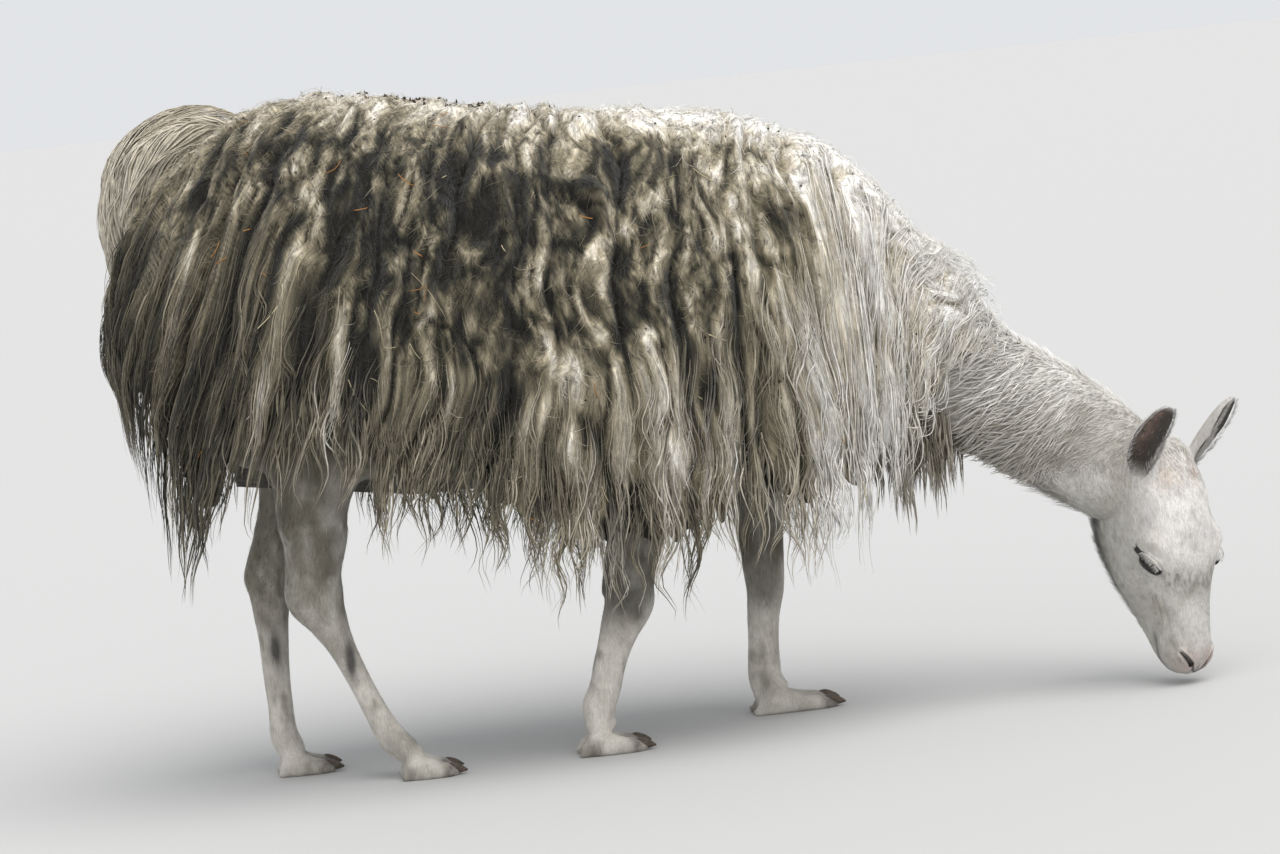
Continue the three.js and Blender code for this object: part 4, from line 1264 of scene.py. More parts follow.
def sweep(name, paths, half, outs, root_colour, tip_colour, root_uv, flat=1.0):
    """One mesh of closed strands. Paths are (strands, steps, 3) and half is (strands, steps)."""
    count, steps = paths.shape[:2]
    half = np.broadcast_to(half, (count, steps))
    ahead = unit(np.gradient(paths, axis=1))
    across = unit(np.cross(ahead, outs))
    rise = np.cross(across, ahead)
    rings = []
    flat = np.broadcast_to(flat, (count,))[:, None, None]
    for angle in 2 * np.pi * np.arange(3) / 3:
        offset = rise * (math.cos(angle) * flat) + across * math.sin(angle)
        rings.append(paths[:, :-1] + offset[:, :-1] * half[:, :-1, None])
    run = np.cumsum(np.linalg.norm(np.diff(paths, axis=1, prepend=paths[:, :1]), axis=-1), axis=1)
    aside = half[:, :-1, None] * np.sin(2 * np.pi * np.arange(3) / 3)
    flow = np.zeros((count, steps * 3 - 2, 3))
    flow[:, :-1, 0], flow[:, -1, 1] = aside.reshape(count, -1), run[:, -1]
    flow[:, :-1, 1] = np.repeat(run[:, :-1], 3, 1)
    flow[:, :, 2] = np.arange(count)[:, None] * 17.0
    body = np.stack(rings, 2).reshape(count, -1, 3)
    points = np.concatenate([body, paths[:, -1:]], 1)
    each = points.shape[1]
    i, j = np.arange(steps - 2)[:, None] * 3, np.arange(3)
    nxt = (j + 1) % 3
    quads = np.stack([i + j, i + nxt, i + 3 + nxt, i + 3 + j], -1).reshape(-1, 4)
    end = (steps - 2) * 3
    tips = np.stack([end + j, end + nxt, np.full(3, each - 1)], -1)
    triangles = np.concatenate([tips, [[2, 1, 0]]])
    first = (np.arange(count) * each)[:, None, None]
    all_quads = (quads[None] + first).reshape(-1, 4)
    all_triangles = (triangles[None] + first).reshape(-1, 3)
    mesh = fast_mesh(name, to_row(points.reshape(-1, 3)), all_quads, all_triangles)
    share = np.append(np.repeat(np.linspace(0, 1, steps)[:-1], 3), 1.0) ** TIP_CURVE
    colour = root_colour[:, None] * (1 - share[None, :, None]) + tip_colour[:, None] * share[None, :, None]
    paint(mesh, colour.reshape(-1, 3))
    put(mesh, "flow", flow.reshape(-1, 3) * MM)
    patch = np.stack([np.append(np.tile([0, 0.5, 1], steps - 1), 0.5), share], -1) * UV_PATCH
    spread_uv = (np.clip(root_uv, 0.002, 0.995)[:, None] + patch[None]).reshape(-1, 2)
    store_unwrap(mesh, spread_uv[corners_of(mesh)])
    return mesh


def drape_uv(q, s):
    """A place on the unwrapped drape of one side."""
    return np.stack([(np.asarray(q) - Q_START) / (Q_END - Q_START), np.asarray(s) / S_END], -1)


# %% [markdown]
# ## Long locks
# Below the middle of the flank, over the shoulder and behind the thighs, the wool isn't felted: it
# hangs in wavy locks that overlap like thatch and end in separate pointed wisps below the hem.
# Rows of locks start at shares of the way down each fall line, so that the rows follow the hem.

# %% Make the long locks
LOCK_SPACING, LOCK_STEPS = 30.0, 11
LOCK_STRANDS = 8
CHEST_Q, NECK_Q = 310, 520  # ahead of these the locks are straighter, then shorter
RUMP_Q = -640  # behind this they are straighter again
CHEST_LOCKS = (110, 9, 9)  # locks, strands in each, points along each strand


def lock_roots(side, random):
    """Each lock: place, length, half width, wave, its turn and period, tone, and 1 at the hem."""
    drape, made = drapes[side], []
    behind = np.arange(Q_START + 10, -690, LOCK_SPACING * 0.78)
    for q in np.concatenate([behind, np.arange(-685, 632, LOCK_SPACING)]):
        rows = 10 if q > 500 else 6 if -600 < q < 190 else 7
        for row in range(rows):
            q0 = q + random.uniform(-0.6, 0.6) * LOCK_SPACING + (row % 2) * LOCK_SPACING / 2
            hem = float(drape.hem_at(q0))
            first = float(through(LOCK_START, q0))
            reach = 0.93 - 0.3 * float(ease(q0, 540, 600)) - first
            share = first + reach * (row + random.uniform(-0.4, 0.4)) / (rows - 1)
            s0 = min(hem * share, hem - random.uniform(150, 200))
            last = row >= rows - 3
            length = hem * random.uniform(0.16, 0.3)
            if q0 > CHEST_Q and share < 0.7:
                length = hem * random.uniform(0.3, 0.55)
            if last:
                length = hem - s0 + random.uniform(-75, 45)
            if q0 > NECK_Q:
                length = min(length, random.uniform(120, 220) - 80 * float(ease(q0, 560, 610)))
            wave = random.uniform(*((0.5, 3.5) if q0 > CHEST_Q else (1, 6) if q0 < RUMP_Q else (3, 15)))
            made.append((q0, s0, max(length, 60), random.uniform(13, 28), wave,
                         random.uniform(0, 1), random.uniform(110, 240), random.uniform(-1, 1), last))
    return np.array(made, float)


def lock_strands(side, locks, random):
    """Paths of all the strands of a side's locks, with their places and tones."""
    per_lock = LOCK_STRANDS
    q0, s0, length, width, wave, turn, period, tone, last = [c[:, None, None] for c in locks.T]
    count = len(locks)
    period = np.maximum(period, 0.6 * length)
    t = np.linspace(0, 1, LOCK_STEPS)[None, None]
    draw = drawer(random, count)
    off, layer = draw(-1, 1, per_lock), draw(0, 1, per_lock)
    stagger = draw(-0.1, 0.2, per_lock) * length
    share = draw(0.7, 1.08, per_lock)
    s = s0 + stagger + (length * share - np.maximum(stagger, 0)) * t
    pinch = 0.9 + 0.1 * ease(t, 0, 0.3) - (0.5 + 0.42 * last) * ease(t, 0.35, 1.0)
    lean = through(ROPE_LEAN, np.broadcast_to(q0, (count, 1, 1)))
    q = q0 - lean * (fallen(s) - fallen(s0))
    q = q + width * off * pinch + wave * np.sin(2 * np.pi * (s / period + turn)) * (0.5 + 0.7 * t)
    own = draw(0, 1, per_lock)
    smooth = 1 - 0.75 * ease(q0, 270, 350)
    crimp = draw(0.6, 3.2) * (0.4 + 0.9 * t) * smooth
    curl = np.maximum(draw(50, 110), 0.42 * length)
    q = q + crimp * np.sin(2 * np.pi * (s / curl + turn * 3 + 0.2 * own))
    sway = draw(0, 2.2, per_lock) * smooth
    q = q + sway * np.sin(2 * np.pi * (s / draw(60, 150, per_lock) + own)) * t
    stray = np.clip(random.normal(0, 1, (count, per_lock, 1)), -2.1, 2.1) ** 3 * 1.8
    q = q + stray * t ** 2
    height, deep = relief(q, s, side)
    hem = drapes[side].hem_at(q)
    height = height * (1 - ease(s, hem - 160, hem - 20)) - 6 * ease(s, hem - 140, hem)
    dome = (1 - off ** 2) * (6 + 4 * ease(q0, 300, 360)) * np.sin(np.pi * np.minimum(t * 0.85 + 0.1, 1))
    lift = height * 0.95 + dome + layer * 3.2 - 5 * (1 - ease(t, 0, 0.2)) - 2.0 * ease(t, 0.8, 1.0)
    lift = lift + (2.5 * smooth * np.sin(2 * np.pi * (s / 110 + own)) + np.abs(stray) * 0.5) * t
    lift = lift - 8 * ease(q, 575, 640)
    points, out = drapes[side].place(q, s, lift)
    flat = [a.reshape(count * per_lock, *a.shape[2:]) for a in (points, out, q, s, deep)]
    return *flat, np.repeat(tone[:, 0, 0], per_lock)


def lock_mesh(name, side, seed):
    """One side's locks as one mesh: wide flat strands with fine ones among them."""
    random = np.random.default_rng(seed)
    locks = lock_roots(side, random)
    paths, outs, q, s, deep, tone = lock_strands(side, locks, random)
    strand = random.uniform(-1, 1, len(paths))
    middle = LOCK_STEPS // 3
    bright = 0.07 + 0.08 * tone + 0.09 * strand + 0.1 * ease(q[:, 0], 190, 300)
    # The root end carries more of the furrows' painted shade than the tip and is painted a little darker still,
    # as painted shade in the wool near the mat.
    root = fleece_colour(q[:, middle], s[:, middle], side, deep[:, middle] * 0.7, bright - 0.06)
    tip = fleece_colour(q[:, -1], s[:, -1], side, deep[:, -1] * 0.2, bright)
    fringe = np.maximum(ease(q[:, 0], 290, 350), np.repeat(locks[:, 8], LOCK_STRANDS))
    band = random.random(len(paths)) < 0.22 + 0.4 * fringe
    fine = tapered(LOCK_STEPS, 0.4, 0.75, 0.18)[None] * random.uniform(0.7, 1.3, (len(paths), 1))
    wide = tapered(LOCK_STEPS, 1.0, 2.0, 0.2, 0.35)[None] * random.uniform(0.5, 1.3, (len(paths), 1))
    scale = 1 - 0.4 * ease(q[:, :1], 480, 580) + 0.3 * ease(-q[:, :1], 680, 760)
    half = np.where(band[:, None], wide, fine) * scale
    return sweep(name, paths, half, outs, root, tip, drape_uv(q[:, 0], s[:, 0]), np.where(band, 0.22, 0.7))


print("locks for each side", len(lock_roots(1, np.random.default_rng(12))))

# %% Locks under the chest
def chest_locks(random):
    """Locks that hang under the front of the fleece, between its two sides."""
    count, per_lock, steps = CHEST_LOCKS
    x, y = random.uniform(400, 566, count), random.uniform(-150, 150, count)
    y = y * np.interp(x, [400, 566], [1, 0.36])
    z = np.interp(x, [400, 480, 560], [462, 486, 506]) + 16
    t = np.linspace(0, 1, steps)[None, None]
    draw = drawer(random, count)
    length = draw(50, 175) * draw(0.75, 1.1, per_lock)
    off = draw(0, 2 * np.pi, per_lock)
    width = draw(8, 18) * (1 - 0.9 * ease(t, 0.2, 1)) * draw(0.3, 1, per_lock)
    turn, wave = draw(0, 1), draw(2, 8)
    swing = wave * np.sin(2 * np.pi * (t * 1.3 + turn)) * t
    x_on = x[:, None, None] + width * np.cos(off) + swing
    y_on = y[:, None, None] + width * np.sin(off) + swing * 0.6
    paths = np.stack([x_on, y_on, z[:, None, None] - length * t], -1).reshape(count * per_lock, steps, 3)
    band = random.random(len(paths)) < 0.6
    half = np.where(band[:, None], tapered(steps, 1.2, 2.2, 0.2)[None], tapered(steps, 0.5, 0.8, 0.2)[None])
    lightness = np.repeat(random.uniform(0.56, 0.82, count), per_lock)
    tone = shade_of(lightness + random.uniform(-0.08, 0.08, len(paths)))
    u, v = np.repeat(x - 400, per_lock) / 170, np.repeat(y + 150, per_lock) / 300
    uv = np.stack([0.86 + 0.13 * u, 0.8 + 0.15 * v], -1)
    outs = np.broadcast_to(np.array([0.6, 0.8, 0.0]), paths.shape)
    # Roots are painted darker than tips: painted shade under the chest.
    return sweep("chest_locks", paths, half, outs, tone * 0.8, tone, uv, np.where(band, 0.25, 0.7))


for side_name, side in SIDES.items():
    locks = add_object(f"locks_{side_name}", lock_mesh(f"locks_{side_name}", side, 11 + side))
    print(locks.name, len(locks.data.polygons), "faces")
chest = add_object("locks_chest", chest_locks(np.random.default_rng(17)))
print(chest.name, len(chest.data.polygons), "faces")

# %% [markdown]
# ## Felted lint
# The felt is covered with short curled fibres that lie along it in every direction. They break its
# surface and its outline, and stand up most and are palest along the back.

# %% Make the lint
LINT_COUNT = 6500
LINT_STEPS = 4


def lint_mesh(name, side, seed):
    """Short curled fibres all over one side of the mat."""
    random = np.random.default_rng(seed)
    n = LINT_COUNT
    q0 = random.uniform(Q_START, 610, n)
    s0 = (drapes[side].hem_at(q0) - 170) * random.uniform(0, 1, n) ** 1.15
    heading = random.normal(0, 0.5, n)
    length = random.uniform(18, 52, n)
    bend = random.uniform(-1.6, 1.6, n)[:, None]
    t = np.linspace(0, 1, LINT_STEPS)[None]
    angle = heading[:, None] + bend * t
    step = length[:, None] / (LINT_STEPS - 1)
    s = s0[:, None] + np.cumsum(np.cos(angle) * step, 1) - step
    q = q0[:, None] - np.cumsum(np.sin(angle) * step, 1)
    q = q - through(ROPE_LEAN, q0)[:, None] * (fallen(s) - fallen(s0[:, None]))
    s = np.abs(s)
    height, deep = relief(q, s, side)
    stand = random.uniform(0, 1, n)[:, None] ** 3
    top = (1 - ease(s0, 0, 140))[:, None]
    lift = height - 1.5 + np.sin(np.pi * t * 0.9) * random.uniform(1.5, 5, (n, 1)) + t * (stand * 9 + 5 * top)
    points, outs = drapes[side].place(q, s, lift)
    tone = random.uniform(-1, 1, n)
    # Each fibre carries the painted shade of the furrow at its root, and its tip is painted lighter than its
    # root.
    root = fleece_colour(q[:, 1], s[:, 1], side, deep[:, 1] * 0.8, 0.03 + 0.07 * tone)
    half = tapered(LINT_STEPS, 0.35, 0.6, 0.15)[None] * random.uniform(0.7, 1.3, (n, 1))
    return sweep(name, points, half, outs, root, root * 1.15, drape_uv(q0, s0), 0.6)


for side_name, side in SIDES.items():
    lint = add_object(f"lint_{side_name}", lint_mesh(f"lint_{side_name}", side, 31 + side))
    print(lint.name, len(lint.data.polygons), "faces")

# %% [markdown]
# ## Markings and the lie of the short coat
# Every part has its own lie of hair: back from the nose on the face, down the legs, out along the
# ears, and back and down on the neck, where the wool is bristly. The nearest part's spine gives
# each point of the skin its lie and length. Colour is worked out from the same places, so the
# skin and the hair on it match.

# %% Which part each point belongs to
def spine_of(stations, count=30):
    knots = np.column_stack([np.arange(len(stations)), np.asarray(stations, float)])
    t = np.linspace(0, len(stations) - 1, count)
    points = places(knots, t)
    reach = (through(knots, t, 4) + through(knots, t, 5) + 2 * through(knots, t, 6)) / 4
    return points, reach


def part_spines():
    """A line down the middle of each part, and the part's reach from it."""
    spines = {"neck": spine_of(NECK), "tail": spine_of(TAIL)}
    x = np.linspace(-20, 345, 30)
    middle = (through(HEAD_STATIONS, x, 1) - through(HEAD_STATIONS, x, 2)) / 2
    axis = np.stack([x, 0 * x, middle], -1)
    spines["head"] = from_head(axis), through(HEAD_STATIONS, x, 3) * 1.1
    for name, side in SIDES.items():
        t = np.linspace(0.16, 1, 14)[:, None]
        line = ear_middle(t) * [1, side, 1]
        spines[f"ear_{name}"] = from_head(line), np.interp(t[:, 0], [0.16, 0.5, 1], [27, 40, 36])
    for foot, stations in LEGS.items():
        heel, tip, y = FEET[foot]
        line, reach = spine_of(stations, 40)
        toe_line = np.stack([np.linspace(heel + 20, tip, 8), np.full(8, y), np.full(8, 14.0)], -1)
        spines[foot] = np.concatenate([line, toe_line]), np.concatenate([reach, np.full(8, 22.0)])
    return spines


PARTS = part_spines()
PART_NAMES = list(PARTS)


def nearest_part(points):
    """For each point: its part's number, its share of the way along the part, and the part's heading."""
    best = np.full(len(points), 1e9)
    part, share, heading = np.zeros(len(points), int), np.zeros(len(points)), np.zeros((len(points), 3))
    for number, name in enumerate(PART_NAMES):
        line, reach = PARTS[name]
        lengthwise = unit(np.gradient(line, axis=0))
        away = np.linalg.norm(points[:, None] - line[None], axis=-1) / reach[None]
        near = away.argmin(1)
        value = away[np.arange(len(points)), near]
        if name in ("head", "neck"):  # the head begins behind the ears
            ahead = into_head(points)[:, 0] > -12
            value = np.where(ahead == (name == "head"), value, 50 + value)
        closer = value < best
        best[closer], part[closer] = value[closer], number
        share[closer] = near[closer] / (len(line) - 1)
        heading[closer] = lengthwise[near[closer]]
    return part, share, heading


print("parts", PART_NAMES)

# %% Colours of the face and ears
HEAD_COAT = np.array([0.66, 0.635, 0.615])
NECK_TOP, NECK_UNDER = np.array([0.88, 0.86, 0.82]), np.array([0.56, 0.53, 0.48])
LEG_UPPER, LEG_LOWER = np.array([0.20, 0.185, 0.15]), np.array([0.60, 0.565, 0.51])
TAN, BLACK, PINK = np.array([0.42, 0.27, 0.17]), np.array([0.012, 0.011, 0.011]), np.array([0.36, 0.24, 0.2])
GREY = np.array([0.10, 0.095, 0.09])
NAIL_DARK, NAIL_PALE = np.array([0.035, 0.028, 0.024]), np.array([0.15, 0.11, 0.085])
# The second colour here is painted shade, for the sides and the lower front of the face.
SMUDGE, CHEEK_SHADE = np.array([0.17, 0.145, 0.125]), np.array([0.40, 0.39, 0.34])
GLANDS = [(-548, -118, 218, 9, 34), (-662, 78, 222, 9, 30)]  # x, y, z, reach across and down


def blob(points, at, reach):
    return np.exp(-(((points - np.asarray(at)) / np.asarray(reach)) ** 2).sum(-1))


def round_head(local):
    """Distance from the head's axis, angle from the forehead, and length of the arc to there."""
    size, angle = np.hypot(local[:, 1], local[:, 2]), np.arctan2(np.abs(local[:, 1]), local[:, 2])
    return size, angle, angle * np.maximum(size, 18)


def head_colour(local, points):
    """Pale face with smudges in front of the eyes, grey lips and black rims. Painted shade greys the jaw, which
    also has dark hair, blackens the nostrils and the cleft below each, and darkens the split of the lip, the
    sides and lower front of the face, the hollows behind the ears and the creases of the cheeks.
    """
    mirrored = np.abs(local[:, 1])
    flat = np.stack([local[:, 0], mirrored, local[:, 2]], -1)
    mottle = noise(points, 26, 71, 3)
    poll = 0.5 * blob(flat, (30, 30, 68), (20, 26, 26)) * (0.7 + 0.5 * noise(points, 12, 75, 2))
    smudge = 0.9 * blob(flat, (206, 44, 50), (22, 20, 18)) + 0.6 * blob(flat, (214, 12, 56), (20, 26, 22))
    streaks = 0.6 + 0.7 * np.clip(noise(local, [13, 5, 5], 77, 2), -0.5, 1)
    # Painted shade on the sides of the face, away from the forehead, and on its lower front towards the muzzle.
    shaded = ease(mirrored - 0.55 * local[:, 2], 44, 92) * ease(local[:, 0], 0, 60)
    lower = ease(local[:, 0], 150, 250) * (1 - 0.6 * blob(flat, (300, 0, 40), (60, 22, 40)))
    faint = 0.25 * blob(flat, (100, 70, 46), (26, 22, 24)) + 0.2 * blob(flat, (330, 30, -10), (40, 30, 30))
    # Under the jaw the coat is painted grey: partly dark hair and partly painted shade from the throat.
    jaw = blob(flat, (116, 30, -124), (84, 50, 52)) + 0.9 * blob(flat, (40, 40, -104), (46, 40, 36))
    jaw = jaw + 0.22 * noise(points, 24, 78, 2) + 0.14 * noise(points, [9, 9, 18], 79, 2)
    size, angle, arc = round_head(local)
    slit, share = to_segment(local[:, 0], arc, *NOSTRIL)
    below, _ = to_segment(local[:, 0], arc, *BELOW_NOSTRIL)
    crease, _ = to_segment(local[:, 0], arc, *CHEEK_CREASE)
    off = np.abs(np.degrees(angle) - through(MOUTH_LINE, local[:, 0])) * np.radians(size)
    lips = ease(local[:, 0], 268, 300)
    colour = layered(
        np.tile(HEAD_COAT, (len(local), 1)),
        (WHITE, 0.25 + 0.5 * mottle),
        (WOOL, 0.28 * np.clip(noise(points, 42, 73, 2), 0, 1)),
        (TAN, poll),
        (SMUDGE, np.clip(1.35 * smudge * streaks, 0, 0.85)),
        (GREY, 0.4 * blob(flat, (192, 64, 41), (12, 7, 7))),
        # Painted shade on the sides and the lower front of the face.
        (CHEEK_SHADE, shaded * (0.7 + 0.3 * mottle)),
        (CHEEK_SHADE * 0.9, lower * (0.55 + 0.35 * mottle)),
        (GREY * 2.2, faint),
        # Dark hair and painted shade under the jaw.
        (GREY * 0.9, 0.9 * ease(jaw, 0.05, 0.75)),
        # Painted shade low on the side of the muzzle.
        (NECK_UNDER, 0.6 * blob(flat, (250, 60, -35), (70, 30, 28))),
        # Painted shade in the hollow below and behind the ear.
        (WOOL * 0.7, 0.55 * blob(flat, (8, 84, 8), (22, 14, 26))),
        # Painted shade along the crease of the cheek, here and in the grey line below.
        (WOOL, 0.45 * blob(flat, (231, 54, 6), (30, 8, 9))),
        (PINK * 1.15, 0.5 * blob(flat, (345, 20, 16), (26, 24, 30))),
        # Painted shade in the nostril's slit, and in the cleft below it.
        (BLACK, (1 - ease(slit, 0.8 + share, 2.6 + 3 * share)) * (0.62 + 0.36 * share)),
        (BLACK, 0.8 * (1 - ease(below, 1.5, 4.5))),
        # Painted shade in the crease of the cheek.
        (GREY, 0.42 * (1 - ease(crease, 0.6, 3.4))),
        (GREY, 0.75 * (1 - ease(off, 1.0, 4.5)) * lips),
        (GREY * 1.8, 0.4 * (1 - ease(off, 3, 14)) * lips),
        # Painted shade in the cleft of the split lip.
        (GREY, 0.6 * (1 - ease(mirrored, 0.8, 3)) * ease(local[:, 0], 350, 358)),
    )
    for side in (-1, 1):
        out, across, inside, far = by_eye(local, side)
        facing = (out > 2) & (far < 40)
        upper = ease(across, 2, 6)
        rim = ease(inside, -8.6 + 6.6 * upper, -6.2 + 5.4 * upper) * facing
        ends = np.maximum(blob(local, EYE_INNER * [1, side, 1] + [5, 0, 0], (7, 4.5, 4.5)),
                          blob(local, EYE_OUTER * [1, side, 1], (4, 2.4, 2.2)))
        colour = layered(colour, (BLACK, rim * 0.97), (BLACK, 0.8 * ends))
    return colour


def ear_colour(local, side, points):
    """Pale outside with a pale rim, brown and pink inside with a dark edge."""
    front, across = ear_axes()
    flat = local * [1, side, 1] - EAR_BASE
    t = np.clip(flat @ EAR_AIM / EAR_LENGTH, 0, 1)
    flat = flat - np.array([0, EAR_BOW, 0]) * np.sin(np.pi * t)[:, None]
    half, cup, thick = ear_measures(t)
    wide = (flat @ across) / half
    inner = np.hypot(wide, (flat @ front) / cup) < 1 - thick / half * 0.7
    core = ease(t, 0.02, 0.2) * (1 - ease(t, 0.86, 0.98)) * inner
    inside = blend(np.tile(np.array([0.085, 0.07, 0.058]), (len(local), 1)), PINK,
                   np.exp(-((wide / 0.4) ** 2)) * ease(t, 0.15, 0.45) * (0.45 + 0.5 * noise(points, 9, 83, 2)))
    streak = ease(t, 0.02, 0.25) * (1 - ease(t, 0.8, 0.98)) * np.exp(-((wide / 0.62) ** 2))
    outside = blend(np.tile(HEAD_COAT, (len(local), 1)), WOOL, streak * (0.75 + 0.4 * noise(points, 7, 97, 2)))
    colour = blend(outside, inside, core)
    return blend(colour, GREY, 0.5 * core * ease(np.abs(wide), 0.45, 0.8))


print("poll", head_colour(np.array([[0, 0, 60.0]]), from_head([[0, 0, 60.0]])).round(2))

# %% Colours of every part
def markings(points):
    """The colour of the short coat, and of the skin under it, at each point."""
    points = np.asarray(points, float)
    part, _, _ = nearest_part(points)
    local = into_head(points)
    colour = np.tile(NECK_UNDER, (len(points), 1))
    top = ease(noise(points, 60, 81, 2) * 26 + (points - HEAD_AT) @ NECK_FRONT, -60, 190)
    mottled = 0.5 + 0.5 * noise(points, [22, 22, 14], 85, 2)
    neck = blend(NECK_UNDER * (0.8 + 0.3 * mottled[:, None]), NECK_TOP, top)
    neck = blend(neck, NECK_UNDER * 0.8, 0.4 * np.clip(noise(points, 30, 87, 2), 0, 1))
    neck = blend(neck, WOOL * 0.8, 0.75 * np.clip(noise(points, 9, 88, 2), 0, 1) * (1 - 0.6 * top))
    colour[:] = neck
    head = head_colour(local, points)
    at_head = part == PART_NAMES.index("head")
    seam = ease(local[:, 0] + 16 * noise(points, 30, 89, 2), -60, 50)
    for near in (at_head, part == PART_NAMES.index("neck")):
        colour[near] = blend(neck[near], head[near], seam[near])
    for name, side in SIDES.items():
        chosen = part == PART_NAMES.index(f"ear_{name}")
        colour[chosen] = ear_colour(local[chosen], side, points[chosen])
    tail = part == PART_NAMES.index("tail")
    # The tail's skin is painted as dark as the roots of its hair, which carry painted shade.
    colour[tail] = shade_of(0.6 + 0.16 * noise(points[tail], [9, 9, 60], 96, 2))
    for foot in FEET:
        chosen = part == PART_NAMES.index(foot)
        p = points[chosen]
        dirty = noise(p, [30, 30, 60], 91, 3)
        toe = ease(p[:, 0], FEET[foot][1] - 38, FEET[foot][1] - 14) * (1 - ease(p[:, 2], 20, 40))
        flecks = 0.6 * np.clip(noise(p, [14, 14, 34], 93, 2) - 0.15, 0, 1) * ease(p[:, 2], 30, 120)
        knees = 0.6 * blob(p, (-76, -132, 262), (30, 40, 34)) + 0.6 * blob(p, (203, 75, 215), (26, 40, 30))
        colour[chosen] = layered(
            np.tile(LEG_LOWER, (len(p), 1)),
            (LEG_UPPER, ease(p[:, 2], 150, 380)),
            (LEG_UPPER * 0.62, 0.8 * ease(p[:, 2], 190, 300) * foot.startswith("fore")),
            (DIRT_AND_SHADE, 0.55 * np.clip(dirty, 0, 1) + 0.25 * (1 - ease(p[:, 2], 8, 40))),
            (WHITE, 0.4 * np.clip(-dirty, 0, 1)),
            (NAIL_DARK * 2, 0.75 * toe * (0.8 + 0.4 * noise(p, 8, 95, 2))),
            # The tops of the legs, under the mat, are painted dark: painted shade under the fleece.
            (DIRT_AND_SHADE, ease(p[:, 2], 520, 600)),
            (DIRT_AND_SHADE * 1.5, flecks),
            (GREY * 0.7, knees),
            *((GREY * 0.6, 0.9 * np.clip(1.4 * blob(p, (x, y, z), (wide, 13, tall)), 0, 1))
              for x, y, z, wide, tall in GLANDS),
        )
    return colour


print("a foreleg", markings([[206, 104, 225.0]]).round(2))

# %% Lie, length and thickness of the coat
def coat_plan(points, normals):
    """Lie, length in millimetres and tufts per square metre at each point of the skin."""
    part, share, heading = nearest_part(points)
    local = into_head(points)
    name = np.array(PART_NAMES)[part]
    lie = -heading
    neck = name == "neck"
    head = name == "head"
    legs = np.isin(name, list(FEET))
    ears = np.char.startswith(name, "ear")
    lie[neck] = -heading[neck] * 0.75 + np.array([0, 0, -0.75])
    lie[head] = -heading[head] + [0, 0, -0.35]
    lie[legs] = heading[legs] + [-0.12, 0, 0]
    lie[ears] = heading[ears]
    lie = lie + 0.22 * np.stack([noise(points, 45, 101 + k, 2) for k in range(3)], -1)
    lie = unit(lie - normals * (lie * normals).sum(-1, keepdims=True))
    length = np.full(len(points), 8.0)
    base = ease(points[:, 0], 790, 590)
    length[neck] = (8 + 12 * ease(local[:, 0], 30, -110) + 24 * base)[neck]
    throat = ease(local[:, 0], 90, -40)
    length[head] = (7 + 4 * ease(local[:, 0], 120, 0) + 7 * throat + 12 * ease(local[:, 2], -50, -110))[head]
    length[head] *= (1 - 0.42 * ease(local[:, 0], 270, 350))[head]
    length[legs] = (8 + 7 * ease(points[:, 2], 250, 450))[legs]
    length[legs] *= (1 - 0.3 * ease(points[:, 2], 70, 20))[legs]
    length[ears] = 6.0
    number = np.zeros(len(points))
    number[neck] = (1 / (length * 0.35))[neck] * ease(points[:, 0], 545, 585)[neck]
    number[head] = ((1 + throat + 2.2 * ease(local[:, 2], -70, -110)) / (length * 0.55))[head]
    number[legs] = (1 / (length * 0.5))[legs] * ease(points[:, 2], 590, 540)[legs]
    number[ears] = (1 / (length * 0.5))[ears]
    for side in (-1, 1):
        out, across, inside, far = by_eye(local, side)
        number[(out > 2) & (far < 34) & (inside > -3.2 - 6.5 * (across < 2.5))] = 0
    slit, _ = to_segment(local[:, 0], round_head(local)[2], *NOSTRIL)
    number[head & (slit < 6)] = 0
    number[points[:, 2] < 4] = 0
    on_head = 0.05 + 0.09 * throat + 0.22 * ease(local[:, 2], -60, -112)
    stand = np.where(neck, 0.16, np.where(head, on_head, 0.09))
    return part, share, lie, length, number, stand


HEAD_PARTS = [PART_NAMES.index(name) for name in ("head", "ear_right", "ear_left")]


def local_x(points):
    return into_head(points)[:, 0]


def along_neck(points):
    """Places turned so that the neck runs up the third axis, for hair streaks in the shader."""
    ahead = unit(np.subtract(NECK[-1][:3], NECK[0][:3]))
    up = unit(np.cross(ahead, [0, 1.0, 0]))
    return np.stack([points @ up, points[:, 1], points @ ahead], -1)


def skin_plan():
    """Paints the skin and works out what grows at each of its points."""
    mesh = skin.data
    points = points_of(mesh)
    flat = np.empty(len(points) * 3, np.float32)
    mesh.vertices.foreach_get("normal", flat)
    part, share, lie, length, number, stand = coat_plan(points, flat.reshape(-1, 3))
    # The markings are painted a little darker on the skin, and darker still on the neck away from the head:
    # painted shade between the tufts that grow from it.
    between = np.where(np.array(PART_NAMES)[part] == "neck", 0.92 - 0.12 * ease(local_x(points), 20, -80), 0.92)
    paint(mesh, markings(points) * between[:, None])
    flow = np.where((part == PART_NAMES.index("neck"))[:, None], along_neck(points), points)
    put(mesh, "flow", np.where(np.isin(part, HEAD_PARTS)[:, None], into_head(points)[:, [1, 2, 0]], flow) * MM)
    return points, part, share, lie, length, number, stand


skin_points, skin_part, skin_share, skin_lie, skin_length, skin_number, skin_stand = skin_plan()
print("parts", {name: int((skin_part == k).sum()) for k, name in enumerate(PART_NAMES)})

# %% [markdown]
# ## The short coat
# Short hair is the same small tuft many times over, laid along the lie of the coat, which is what
# Geometry Nodes does well: scatter points on the skin, put a tuft on each, turn it to the lie and
# the skin, scale it to the length there, and make it real. The neck, the head with its ears, and the
# legs are one piece each.

